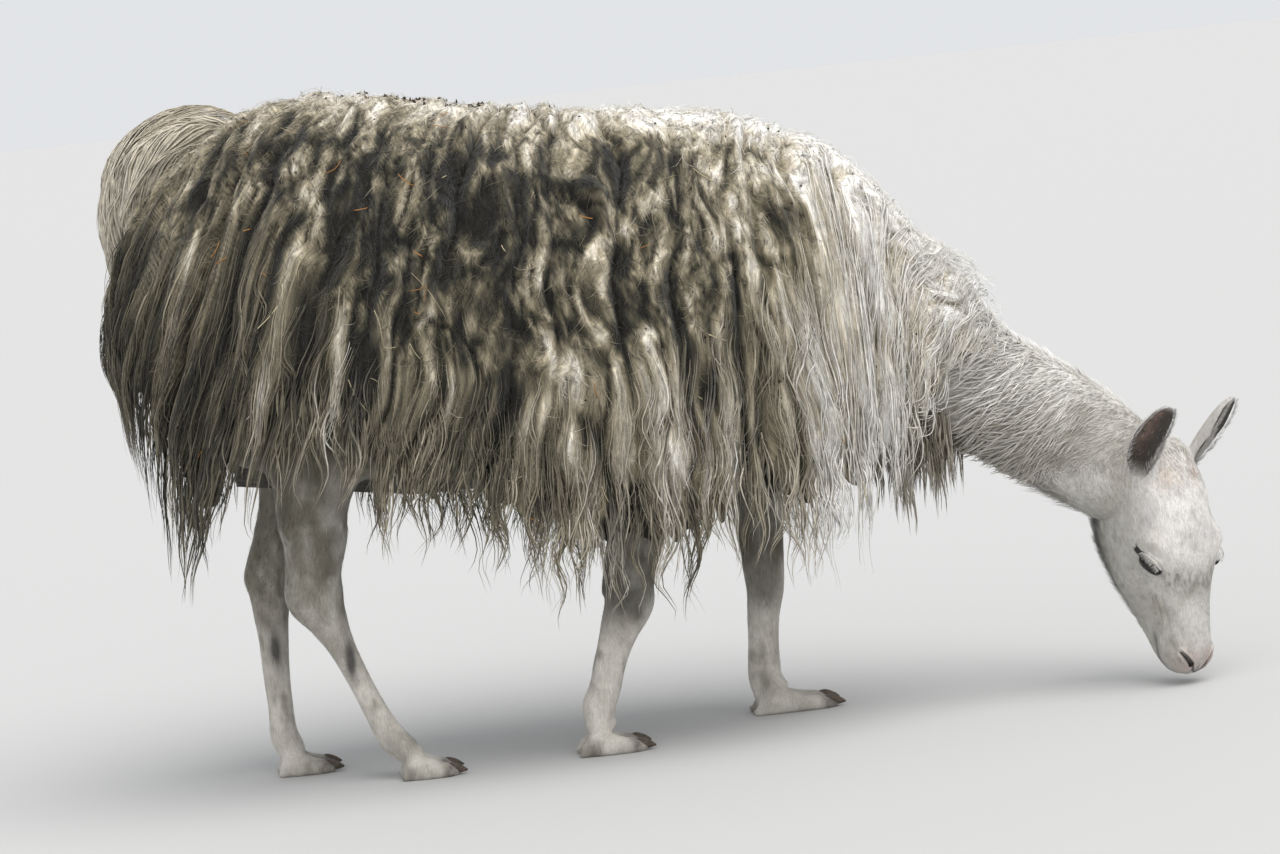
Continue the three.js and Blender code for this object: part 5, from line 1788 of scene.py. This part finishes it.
# %% Tuft and node tree
def tuft_mesh(name, steps, half, rise, flat):
    """A tuft one metre long along X, rooted at the origin, that lifts off and lies back down."""
    t = np.linspace(0, 1, steps)
    path = np.stack([t, 0 * t, np.interp(t, [0, 0.45, 1], [-0.06, rise, rise * 0.9])], -1)[None]
    width = (np.interp(t, [0, 0.4, 1], [0.7, 1, 0.0]) * half)[None]
    mesh = sweep(name, (path / MM - ROW_SHIFT), width / MM, np.array([0, 0, 1.0]) + 0 * path,
                 np.ones((1, 3)), np.ones((1, 3)), np.zeros((1, 2)), flat)
    share = np.append(np.repeat(t[:-1], 3), 1.0)
    across = np.append(np.tile([0, 0.5, 1], steps - 1), 0.5)
    put(mesh, "own", np.stack([across, share, 0 * share], -1))
    for layer in ("tint", "flow"):
        mesh.attributes.remove(mesh.attributes[layer])
    mesh.uv_layers.remove(mesh.uv_layers["OFBake"])
    return mesh


def input_of(tree, kind, name, value):
    made = tree.interface.new_socket(name, in_out="INPUT", socket_type=kind)
    if value is not None:
        made.default_value = value
    return made.identifier


def coat_tree(tuft, finish):
    """The node tree of the short coat. Its inputs are named, and its seed is fixed."""
    tree = bpy.data.node_groups.new("short_coat_nodes", "GeometryNodeTree")
    tree.interface.new_socket("Geometry", in_out="INPUT", socket_type="NodeSocketGeometry")
    tree.interface.new_socket("Geometry", in_out="OUTPUT", socket_type="NodeSocketGeometry")
    keys = {name: input_of(tree, kind, name, value) for name, kind, value in (
        ("Tufts per area", "NodeSocketFloat", 1.0), ("Length scale", "NodeSocketFloat", 1.0),
        ("Turn spread", "NodeSocketFloat", 0.4), ("Seed", "NodeSocketInt", 7))}
    given = tree.nodes.new("NodeGroupInput")
    field = lambda name: Wire(tree, given.outputs[name])
    stored = lambda name, kind="FLOAT": node(
        tree, "GeometryNodeInputNamedAttribute", {"data_type": kind}, name)
    thick = stored("number") * field("Tufts per area")
    scatter = tree.nodes.new("GeometryNodeDistributePointsOnFaces")
    for key, wire in (("Mesh", field("Geometry")), ("Density", thick), ("Seed", field("Seed"))):
        tree.links.new(wire.socket, scatter.inputs[key])
    points, normal = Wire(tree, scatter.outputs["Points"]), Wire(tree, scatter.outputs["Normal"])
    laid = node(tree, "FunctionNodeAxesToRotation", {"primary_axis": "Z", "secondary_axis": "X"},
                normal, stored("lie", "FLOAT_VECTOR"))
    yaw = random_value(tree, -1.0, 1.0, 3) * field("Turn spread")
    nod = stored("stand") * random_value(tree, -1.7, 0.1, 4)
    euler = node(tree, "ShaderNodeCombineXYZ", None, 0.0, nod, yaw)
    turn = node(tree, "FunctionNodeRotateRotation", {"rotation_space": "LOCAL"}, laid,
                node(tree, "FunctionNodeEulerToRotation", None, euler))
    size = stored("length") * field("Length scale") * random_value(tree, 0.65, 1.35, 5)
    template = node(tree, "GeometryNodeObjectInfo", None, tuft, out=4)
    placed = node(tree, "GeometryNodeInstanceOnPoints", None, Points=points, Instance=template, Rotation=turn,
                  Scale=size)
    tone = node(tree, "GeometryNodeStoreNamedAttribute", {"data_type": "FLOAT", "domain": "INSTANCE"},
                Geometry=placed, Name="tone", Value=random_value(tree, -1.0, 1.0, 6))
    real = node(tree, "GeometryNodeRealizeInstances", None, tone)
    coat = node(tree, "GeometryNodeSetMaterial", None, real, None, finish)
    tree.links.new(coat.socket, tree.nodes.new("NodeGroupOutput").inputs[0])
    return tree, keys


def random_value(tree, low, high, seed):
    made = tree.nodes.new("FunctionNodeRandomValue")
    made.data_type = "FLOAT"
    for key, value in ((2, low), (3, high), (8, seed)):
        made.inputs[key].default_value = value
    return Wire(tree, made.outputs[1])


print("parts with a coat", len(PART_NAMES))

# %% Scatter the tufts
def part_uv(part, share, points):
    """A place on the unwrapped skin of the part a point belongs to: round it, and along it."""
    around = np.zeros(len(points))
    for number, name in enumerate(PART_NAMES):
        chosen = part == number
        if not chosen.any():
            continue
        line, _ = PARTS[name]
        near = (share[chosen] * (len(line) - 1)).astype(int)
        ahead = unit(np.gradient(line, axis=0))[near]
        start = unit(np.cross(ahead, [0.31, 0.9, 0.2]))
        away = points[chosen] - line[near]
        angle = np.arctan2((away * np.cross(ahead, start)).sum(1), (away * start).sum(1))
        around[chosen] = angle / (2 * np.pi) + 0.5
    tile = part / len(PART_NAMES)
    return np.stack([np.clip(share, 0, 1) * 0.97 + 0.01, tile + around / len(PART_NAMES) * 0.96], -1)


def short_coat(name, chosen, tuft, finish, dense, spread_turn, fade, seed):
    """Scatters tufts over the chosen parts of the skin and returns them as one plain mesh."""
    mesh = skin.data.copy()
    put(mesh, "number", skin_number * chosen * 1e6)
    put(mesh, "lie", skin_lie)
    put(mesh, "stand", skin_stand)
    put(mesh, "length", skin_length * MM)
    around = part_uv(skin_part, skin_share, skin_points)
    put(mesh, "place", np.column_stack([around, np.zeros(len(around))]))
    ground = add_object(name + "_ground", mesh)
    tree, keys = coat_tree(tuft, finish)
    grow = ground.modifiers.new(name, "NODES")
    grow.node_group = tree
    grow[keys["Tufts per area"]] = dense * 1.0
    grow[keys["Turn spread"]] = spread_turn
    grow[keys["Seed"]] = seed
    bpy.context.view_layer.update()
    made = bpy.data.meshes.new_from_object(ground.evaluated_get(bpy.context.evaluated_depsgraph_get()))
    bpy.data.objects.remove(ground)
    own, place = stored_in(made, "own"), stored_in(made, "place")
    tone, colour = stored_in(made, "tone", "value", 1), stored_in(made, "tint", "color", 4)[:, :3]
    # Each tuft is painted darker at its root and lighter at its tip, by fade: painted shade near the skin. Each
    # also gets a tone of its own.
    fade = np.interp(local_x(points_of(made)), [-50, 70], fade)[:, None]
    paint(made, colour * (1 + fade * (own[:, 1:2] - 0.4)) * (1 + 0.45 * fade * tone))
    uv = np.clip(place[:, :2], 0.002, 0.995) + own[:, :2] * UV_PATCH
    for layer in [layer.name for layer in made.uv_layers]:
        made.uv_layers.remove(made.uv_layers[layer])
    store_unwrap(made, uv[corners_of(made)])
    for spare in ("own", "place", "tone", "number", "lie", "length", "stand"):
        if spare in made.attributes:
            made.attributes.remove(made.attributes[spare])
    piece = add_object(name, made, smooth=False)
    print(name, len(made.polygons), "faces")
    return piece


def stored_in(mesh, name, key="vector", width=3):
    """The values stored for each point under a name."""
    flat = np.empty(len(mesh.vertices) * width, np.float32)
    mesh.attributes[name].data.foreach_get(key, flat)
    return flat.reshape(-1, width)


# %% Grow the short coat
bristle = add_object("tuft_bristle", tuft_mesh("tuft_bristle", 4, 0.04, 0.12, 0.35), smooth=False)
nap = add_object("tuft_nap", tuft_mesh("tuft_nap", 3, 0.06, 0.035, 0.12), smooth=False)
part_is = lambda *names: np.isin(np.array(PART_NAMES)[skin_part], names)
COATS = [  # piece, share of the skin, tuft, density, turn, painted shade at the roots by ears and nose, seed
    ("coat_neck", part_is("neck"), bristle, 0.36, 0.4, (0.4, 0.4), 3),
    ("coat_head", part_is("head", "ear_right", "ear_left"), nap, 0.26, 0.3, (0.42, 0.12), 5),
    ("coat_legs", part_is(*FEET), nap, 0.09, 0.25, (0.22, 0.22), 7),
]
for name, chosen, tuft, dense, turn, fade, seed in COATS:
    finish_piece(short_coat(name, chosen, tuft, short_hair, dense, turn, fade, seed), short_hair)
for tuft in (bristle, nap):
    bpy.data.objects.remove(tuft)

# %% [markdown]
# ## Eyes
# The llama looks down, so the eye is a narrow dark crescent. The ball is a sphere with a bulging
# clear cornea over a brown iris and a level slit of a pupil. Pale lashes hang over it from the
# upper lid.

# %% Eyeballs and lashes
IRIS_REACH, PUPIL_HALF, GAZE_DOWN = 15.5, (9.5, 3.4), 0.1  # millimetres from the axis of the eye
BALL_FINENESS = (64, 44)  # points round a ring, and rings
LASHES = 150


def eyeball(side):
    """A ball with its pole forwards, raised to a cornea, painted by distance from the pole."""
    turns, rings = BALL_FINENESS
    out, along, across = eye_axes(side)
    out, across = unit(out - across * GAZE_DOWN), unit(across + out * GAZE_DOWN)
    centre = EYE_AT * [1, side, 1]
    polar = np.pi * np.linspace(0, 1, rings) ** 1.25
    angle = np.linspace(0, 2 * np.pi, turns, endpoint=False)
    reach = EYE_RADIUS + CORNEA_RISE * (1 - ease(polar, 0.25, 0.75))[:, None]
    u = np.sin(polar)[:, None] * np.cos(angle) * reach
    v = np.sin(polar)[:, None] * np.sin(angle) * reach
    w = np.cos(polar)[:, None] * reach + 0 * angle
    points = centre + u[..., None] * along + v[..., None] * across + w[..., None] * out
    mesh = mesh_of("eyeball", from_head(points.reshape(-1, 3)), ball_faces(rings, turns))
    away = np.hypot(u, v)
    front = w > 0
    ray = 0.5 + 0.5 * noise(np.stack([np.cos(angle) * 30, np.sin(angle) * 30, 0 * angle], -1), [5, 5, 5], 201)
    colour = np.tile(np.array([0.05, 0.035, 0.03]), (rings, turns, 1))
    iris = blend(np.full((rings, turns, 3), 0.02), np.array([0.035, 0.02, 0.012]), np.tile(ray, (rings, 1)))
    colour = blend(colour, iris, (1 - ease(away, IRIS_REACH - 0.6, IRIS_REACH + 0.8)) * front)
    pupil = np.hypot(u / PUPIL_HALF[0], v / PUPIL_HALF[1])
    colour = blend(colour, BLACK * 0.3, (1 - ease(pupil, 0.9, 1.1)) * front)
    paint(mesh, colour.reshape(-1, 3))
    return tidy_closed(mesh)


def ball_faces(rings, turns):
    i, j = np.meshgrid(np.arange(rings - 1), np.arange(turns), indexing="ij")
    k = (j + 1) % turns
    corners = [i * turns + j, (i + 1) * turns + j, (i + 1) * turns + k, i * turns + k]
    return np.stack(corners, -1).reshape(-1, 4).tolist()


def lashes(side, random):
    """Pale lashes that hang from the upper lid over the eye."""
    out, along, across = eye_axes(side)
    t = np.sort(random.uniform(-0.86, 0.9, LASHES))
    a, b = t * EYE_HALF, eye_rims(t * EYE_HALF)[0] + random.uniform(0.8, 2.2, len(t))
    centre = EYE_AT * [1, side, 1]
    forward = np.sqrt(EYE_RADIUS ** 2 - a ** 2 * 0.7)
    aim = unit(a[:, None] * along + b[:, None] * across + forward[:, None] * out)
    root = centre + aim * (EYE_RADIUS + LID_THICK + CORNEA_RISE * 0.8)
    length = random.uniform(6, 10.5, len(t)) * (1 - t ** 2) ** 0.25
    step = np.linspace(0, 1, 6)[None, :, None]
    droop = out * 0.62 - across * 0.7 + along * random.uniform(-0.3, 0.3, (len(t), 1))
    droop = unit(droop + 0.4 * t[:, None] * along)
    bend = (across * 0.42 + out * 0.1) * step ** 2
    paths = root[:, None] + (droop[:, None] * step - bend) * length[:, None, None]
    half = tapered(6, 0.26, 0.24, 0.05)[None] * random.uniform(0.8, 1.2, (len(t), 1))
    pale = np.tile(np.array([0.66, 0.64, 0.6]), (len(t), 1)) * random.uniform(0.5, 1.2, (len(t), 1))
    uv = np.stack([0.05 + 0.4 * (side > 0) + (t + 1) * 0.15, np.full(len(t), 0.9)], -1)
    return sweep("lashes", from_head(paths.reshape(-1, 3)).reshape(paths.shape), half,
                 np.broadcast_to(head_turn(out), paths.shape), pale, pale, uv, 1.0)


def head_turn(direction):
    """A direction given in the head's own axes, in the making frame."""
    return from_head(direction) - from_head(np.zeros(3))


def joined(name, parts):
    """One object made of several meshes."""
    mesh = bpy.data.meshes.new(name)
    shape = bmesh.new()
    for part in parts:
        shape.from_mesh(part)
        bpy.data.meshes.remove(part)
    shape.to_mesh(mesh)
    shape.free()
    return add_object(name, mesh)


def eye_shader(tree):
    colour = node(tree, "ShaderNodeAttribute", {"attribute_name": "tint"})
    return node(tree, "ShaderNodeBsdfPrincipled", None, Base_Color=colour, Roughness=0.12,
                Coat_Weight=0.4, Coat_Roughness=0.03, Specular_IOR_Level=0.2)


wet_eye = material("eye", eye_shader)
random = np.random.default_rng(71)
for side_name, side in SIDES.items():
    ball = add_object(f"eyeball_{side_name}", eyeball(side))
    finish_piece(ball, wet_eye, [f"eye_{side_name}"])
finish_piece(joined("lashes", [lashes(side, random) for side in (-1, 1)]), short_hair)
print("eyes", len(ball.data.polygons), "faces each")

# %% [markdown]
# ## Ear hair
# Long pale hairs line the ears, and stand out past their rims, thickest at the inner lower edge.

# %% Grow the ear hair
EAR_HAIRS = 1000  # on each ear


def ear_hair(side, random):
    """Strands rooted along the rim and the inside of one ear, in the head's axes."""
    front, across = ear_axes()
    n = EAR_HAIRS
    t = random.uniform(0.03, 0.97, n)
    edge = random.choice([-1.0, 1.0], n, p=[0.8, 0.2])
    lining = random.random(n) < 0.3
    turn = np.where(lining, random.uniform(-0.9, 0.9, n), edge * random.uniform(0.93, 1.04, n))
    half, cup, thick = ear_measures(t)
    deep = np.where(lining, 1.0, random.uniform(0.2, 1.0, n))
    angle = turn * np.radians(EAR_ARC) / 2
    middle = ear_middle(t[:, None])
    wide, back = np.sin(angle) * (half - thick * deep), np.cos(angle) * (cup - thick * deep)
    root = middle + across * wide[:, None] - front * back[:, None]
    inward = -across * np.sign(angle)[:, None]
    aim = EAR_AIM * random.uniform(0.7, 1.2, (n, 1)) + front * random.uniform(0.1, 0.9, (n, 1))
    aim = aim + inward * random.uniform(-0.5, 0.8, (n, 1)) * np.where(lining, 0.3, 1.0)[:, None]
    length = random.uniform(6, 13, n) * np.where(lining, 0.6, 1.0) * (1.2 - 0.5 * t)
    length = length * np.where((edge < 0) & (t < 0.45), 1.7, 1.0)
    step = np.linspace(0, 1, 5)[None, :, None]
    bend = (EAR_AIM * 0.35 - front * 0.1) * step ** 2
    paths = root[:, None] + (unit(aim)[:, None] * step + bend) * length[:, None, None]
    paths = paths * [1, side, 1]
    pale = np.tile(HEAD_COAT * 1.02, (n, 1)) * random.uniform(0.75, 1.1, (n, 1))
    dark = np.tile(np.array([0.25, 0.21, 0.18]), (n, 1)) * random.uniform(0.6, 1.2, (n, 1))
    colour = np.where((lining & (random.random(n) < 0.75))[:, None], dark, pale)
    half = tapered(5, 0.4, 0.38, 0.06)[None] * random.uniform(0.7, 1.2, (n, 1))
    uv = np.stack([0.1 + 0.8 * t, 0.1 + 0.4 * (side > 0) + 0.15 * (turn + 1)], -1)
    outs = np.broadcast_to(head_turn(front), paths.shape)
    placed = from_head(paths.reshape(-1, 3)).reshape(paths.shape)
    # Roots are painted darker than tips: painted shade.
    return sweep("ear_hair", placed, half, outs, colour * 0.8, colour, uv)


ear_fringe = joined("ear_fringe", [ear_hair(side, random) for side in (-1, 1)])
finish_piece(ear_fringe, short_hair)
print("ear hair", len(ear_fringe.data.polygons), "faces")

# %% [markdown]
# ## Nails
# Each toe ends in a blunt curved nail of dark horn, worn at its tip and ringed where it has grown.

# %% Make the nails
NAIL_FINENESS = (46, 30)  # rings and sides


def nail_mesh(foot, side):
    """One nail: the solid's own sections made finer, ringed across and chipped at the tip."""
    rings, sides = NAIL_FINENESS
    tip = FEET[foot][1]
    level = lambda share, high: NAIL_LEVEL[0] + (NAIL_LEVEL[1] - NAIL_LEVEL[0]) * share
    stations = along_toe(foot, side, tip - NAIL_LENGTH * NAIL_OVERLAP, NAIL_LENGTH, NAIL_SECTIONS, level)
    form = limb(stations, [0, 0, 1], rings, sides, 0.3, squareness=2.2)
    middle = form.mean(1, keepdims=True)
    along = np.linspace(0, 1, rings)[:, None]
    place = form + side * 40
    ringed = 0.22 * np.sin(along * 60 + 2 * noise(place, [9, 9, 9], 301, 2))
    ringed = ringed + 0.3 * noise(place, [7, 3, 3], 303, 2)
    worn = 0.9 * ease(along, 0.8, 1) * np.clip(noise(place, [4, 3, 3], 305, 2), 0, 1)
    reach = np.linalg.norm(form - middle, axis=-1)
    grow = 1 + np.clip(ringed - worn - 0.15, -1.2, 0.1) / np.maximum(reach, 3)
    form = middle + (form - middle) * grow[..., None]
    points, faces = loft(form)
    mesh = mesh_of("nail", points, faces)
    streaks = 0.5 + 0.5 * noise(points, [12, 2.5, 2.5], 307, 3)
    colour = blend(np.tile(NAIL_DARK, (len(points), 1)), NAIL_PALE, 0.7 * streaks)
    colour = blend(colour, DIRT_AND_SHADE * 1.6, 0.5 * np.clip(noise(points, 7, 309, 2), 0, 1))
    paint(mesh, colour)
    return mesh


horn = material("nail_horn", plain_shader(0.15, 0.25, 0.5))
nails = joined("nails", [nail_mesh(foot, side) for foot in FEET for side in (-1, 1)])
finish_piece(nails, horn, [f"nail_{foot}_{name}" for foot in FEET for name in ("right", "left")])
print("nails", len(nails.data.polygons), "faces")

# %% [markdown]
# ## The tail
# The tail is carried over the rump in a loop, and long straight hair falls from it like a plume.
# Each hair starts on the tail, runs along it, and then hangs under its own weight.

# %% Grow the tail's hair
TAIL_STEPS, TAIL_LOCKS, TAIL_HAIR_STEPS = 90, 60, 11


def tail_line():
    """The middle of the tail, carried on below its tip, with its reach, upward side and step."""
    line, reach = spine_of(TAIL, TAIL_STEPS)
    step = np.linalg.norm(np.diff(line, axis=0), axis=1).mean()
    more = np.arange(1, 46)[:, None] * np.array([0.12, 0, -1.0]) * step
    line = np.concatenate([line, line[-1] + more])
    reach = np.concatenate([reach, np.full(len(more), reach[-1])])
    ahead = unit(np.gradient(line, axis=0))
    return line, reach, unit(np.cross(ahead, [0, 1.0, 0])), step


def tail_hair(random, count):
    """Straight hairs in locks that lie along the tail, then fall clear of it."""
    line, reach, up, step = tail_line()
    locks = TAIL_LOCKS
    lock = random.integers(0, locks, count)
    start = random.uniform(0.02, 0.8, locks)[lock] * TAIL_STEPS + random.uniform(-4, 4, count)
    turn = random.uniform(0, 2 * np.pi, locks)[lock] + random.normal(0, 0.16, count)
    length = random.uniform(150, 270, locks)[lock] * random.uniform(0.75, 1.1, count) / step
    t = np.linspace(0, 1, TAIL_HAIR_STEPS)[None]
    at = np.clip(start[:, None] + length[:, None] * t, 0, len(line) - 1.01)
    low = np.floor(at).astype(int)
    part = (at - low)[..., None]
    pick = lambda table: table[low] * (1 - part) + table[low + 1] * part
    centre, size = pick(line), pick(reach[:, None])
    rooted = np.maximum(reach[np.clip(start, 0, TAIL_STEPS - 1).astype(int)], 20)[:, None, None]
    size = np.maximum(size, rooted * (1 - 0.45 * t[..., None]))
    above, aside = pick(up), np.array([0, 1.0, 0])
    angle = turn[:, None, None] + 0.12 * np.sin(2 * np.pi * (t[..., None] * 1.4 + turn[:, None, None]))
    off = above * np.cos(angle) + aside * np.sin(angle)
    arch = np.sin(np.pi * np.minimum(t * 1.1, 1))[..., None]
    lift = 0.9 + 0.1 * arch * random.uniform(0.4, 1.4, (count, 1, 1))
    paths = centre + off * size * lift
    fall = 55 * t[..., None] ** 1.9 * (0.35 + 0.65 * np.abs(np.sin(angle)))
    paths = paths - np.array([0.15, 0, 1.0]) * (fall * (start / TAIL_STEPS < 0.7)[:, None, None])
    wave = random.uniform(1, 4, (locks, 1, 1))[lock]
    wave = wave * np.sin(2 * np.pi * (t[..., None] * 1.8 + turn[:, None, None]))
    paths = paths + above * wave
    band = random.random(count) < 0.5
    wide, fine = tapered(TAIL_HAIR_STEPS, 1.2, 2.6, 0.2), tapered(TAIL_HAIR_STEPS, 0.45, 0.75, 0.15)
    half = np.where(band[:, None], wide[None], fine[None])
    half = half * random.uniform(0.7, 1.3, (count, 1))
    tone = random.uniform(-1, 1, locks)[lock] * 0.5 + random.uniform(-1, 1, count) * 0.5
    light = 0.8 + 0.14 * tone - 0.12 * (1 - ease(start, 0, 30))
    # Each hair's root is painted darker than its tip: painted shade in the plume.
    root, tip = shade_of(np.clip(light - 0.1, 0, 1)), shade_of(np.clip(light, 0, 1))
    uv = np.stack([start / 95 * 0.9 + 0.02, np.mod(turn / (2 * np.pi), 1) * 0.9 + 0.03], -1)
    return sweep("tail_hair", paths, half, off, root, tip, np.clip(uv, 0, 0.99), np.where(band, 0.3, 0.8))


tail_fur = add_object("tail_hair", tail_hair(random, 1500))
finish_piece(tail_fur, lock_wool)
print("tail hair", len(tail_fur.data.polygons), "faces")

# %% [markdown]
# ## What has stuck to the fleece
# Straw, leaf and crumbs of earth cling to the wool, thickest along the back. They're laid on the
# same fall lines as the locks, just above the relief.

# %% Straw and crumbs
STRAWS = [  # q, s, heading from straight down in degrees, length, colour number
    (-360, 480, -32, 95, 0), (-450, 530, -6, 60, 0), (-570, 410, 25, 34, 0), (-600, 450, 8, 46, 0),
    (-630, 470, 70, 50, 0), (310, 265, 35, 84, 0), (345, 270, 5, 60, 0), (330, 290, 60, 50, 0),
    (-540, 560, 20, 62, 0), (-500, 640, -25, 70, 0), (-620, 690, 12, 90, 0), (-700, 300, 40, 26, 1),
    (-690, 330, 100, 22, 1), (-385, 470, 80, 26, 1), (-372, 478, 20, 30, 1), (-405, 25, 60, 24, 1),
    (-290, 110, 50, 20, 1), (-90, 330, 100, 24, 1), (0, 380, 70, 20, 1), (120, 60, 100, 34, 2),
]
STRAW_COLOURS = np.array([[0.60, 0.52, 0.34], [0.46, 0.22, 0.07], [0.10, 0.14, 0.05]])
CRUMBS = 520
CRUMB_BROWN = np.array([0.035, 0.024, 0.016])


def straw_mesh(random):
    """Bits of straw laid on the fleece at given places, and thinly scattered elsewhere."""
    parts = []
    for side, extra in ((-1, 46), (1, 60)):
        given = np.array(STRAWS if side < 0 else STRAWS[::3], float)
        loose = np.stack([random.uniform(-850, 480, extra), random.uniform(60, 850, extra),
                          random.uniform(-90, 90, extra), random.uniform(9, 42, extra),
                          (random.random(extra) < 0.4) * 1.0], -1)
        q0, s0, heading, length, kind = np.concatenate([given, loose]).T
        keep = s0 < drapes[side].hem_at(q0) - 60
        q0, s0, heading, length, kind = [v[keep][:, None] for v in (q0, s0, heading, length, kind)]
        t = np.linspace(-0.5, 0.5, 6)[None]
        turn = np.radians(heading) + random.uniform(-0.5, 0.5, q0.shape) * t
        q, s = q0 - np.sin(turn) * length * t, np.abs(s0 + np.cos(turn) * length * t)
        height, _ = relief(q, s, side)
        lift = height.max(1, keepdims=True) * 0.6 + height * 0.4 + 3.0 + t * random.uniform(-6, 6, q0.shape)
        points, out = drapes[side].place(q, s, lift)
        half = np.full(q.shape, 1.0) * random.uniform(0.5, 1.15, q0.shape)
        half[:, -1] = 0.3
        colour = STRAW_COLOURS[kind[:, 0].astype(int)] * random.uniform(0.6, 1.15, (len(q), 1))
        parts.append(sweep("straw", points, half, out, colour, colour, drape_uv(q0[:, 0], s0[:, 0]), 0.6))
    return parts


def crumb_mesh(random):
    """Dark crumbs of earth and leaf: small uneven eight-faced lumps, thickest on the back."""
    n = CRUMBS
    sides = np.where(random.random(n) < 0.6, -1, 1)
    q, s = random.uniform(-900, 480, n), random.uniform(20, 800, n)
    clump = random.random(n) < 0.34
    q = np.where(clump, random.normal(-310, 90, n), q)
    s = np.where(clump, np.abs(random.normal(10, 26, n)), s)
    size = random.uniform(0.8, 2.2, n) * np.where(clump, 1.3, 1.0)
    corners = np.array([[1, 0, 0], [0, 1, 0], [-1, 0, 0], [0, -1, 0], [0, 0, 1], [0, 0, -1]], float)
    faces = np.array([[0, 1, 4], [1, 2, 4], [2, 3, 4], [3, 0, 4], [1, 0, 5], [2, 1, 5], [3, 2, 5], [0, 3, 5]])
    points, all_faces, colours = [], [], []
    for i in range(n):
        drape = drapes[sides[i]]
        if s[i] > drape.hem_at(q[i]) - 190:
            continue
        height, _ = relief(q[i], s[i], sides[i])
        at, _ = drape.place(q[i], s[i], height + 1.5)
        lump = corners * size[i] * random.uniform(0.5, 1.7, (6, 1)) * random.uniform(0.5, 1.6, (1, 3))
        all_faces += (faces + 6 * len(points)).tolist()
        points.append(at + lump)
        colours.append(np.tile(random.uniform(0.5, 1.5) * CRUMB_BROWN, (6, 1)))
    mesh = outward(mesh_of("crumbs", np.concatenate(points), all_faces))
    paint(mesh, np.concatenate(colours))
    return mesh


chaff = joined("straw_bits", straw_mesh(random))
crumbs = add_object("crumbs", crumb_mesh(random), smooth=False)
for piece in (chaff, crumbs):
    finish_piece(piece, loose_bits)
print("straw", len(chaff.data.polygons), "crumbs", len(crumbs.data.polygons), "faces")

# %% Put the pieces on the frame
hide_nodes = ["neck", "head", "tail", "ear_right", "ear_left", *[f"leg_{foot}" for foot in FEET]]
finish_piece(skin, short_hair, hide_nodes)
finish_piece(fleece_mat, felt, ["trunk", "skirt_right", "skirt_left"])
finish_piece(chest, lock_wool)
for side_name in SIDES:
    finish_piece(bpy.data.objects[f"locks_{side_name}"], lock_wool)
    finish_piece(bpy.data.objects[f"lint_{side_name}"], lock_wool)

# %% [markdown]
# ## Floor and light
# A plain pale floor and soft studio light: soft light from above and a little from the front.

# %% Floor, world and lights
FLOOR_HALF, FLOOR_GREY = 60, (0.47, 0.47, 0.465, 1)  # metres, linear colour
WORLD_COLOUR, WORLD_LIGHT = (0.95, 0.97, 1.0, 1), 0.8
LIGHTS = [  # name, heading of the light, strength, softness in degrees, colour
    ("soft_above", (-0.25, 0.35, -1.0), 2.6, 55, (1.0, 0.985, 0.96)),
    ("soft_front", (0.45, 1.0, -0.5), 0.7, 80, (1.0, 0.99, 0.98)),
]


def make_stage():
    mesh = bpy.data.meshes.new("floor")
    corners = [(FLOOR_HALF * x, FLOOR_HALF * y, 0) for x, y in ((-1, -1), (1, -1), (1, 1), (-1, 1))]
    mesh.from_pydata(corners, [], [(0, 1, 2, 3)])
    floor = add_object("floor", mesh, smooth=False)
    floor.data.materials.append(material("floor", lambda tree: node(
        tree, "ShaderNodeBsdfPrincipled", None, Base_Color=FLOOR_GREY, Roughness=0.85)))
    world = bpy.data.worlds.new("studio")
    bpy.context.scene.world = world
    world.use_nodes = True
    sky = world.node_tree.nodes["Background"]
    sky.inputs["Color"].default_value, sky.inputs["Strength"].default_value = WORLD_COLOUR, WORLD_LIGHT
    for name, heading, power, soft, colour in LIGHTS:
        lamp = bpy.data.lights.new(name, "SUN")
        lamp.energy, lamp.angle, lamp.color = power, math.radians(soft), colour
        lit = bpy.data.objects.new(name, lamp)
        lit.rotation_euler = Vector(heading).to_track_quat("-Z", "Y").to_euler()
        bpy.context.scene.collection.objects.link(lit)
    bpy.context.scene.view_settings.view_transform = "Standard"


make_stage()
print("lights", len(LIGHTS))
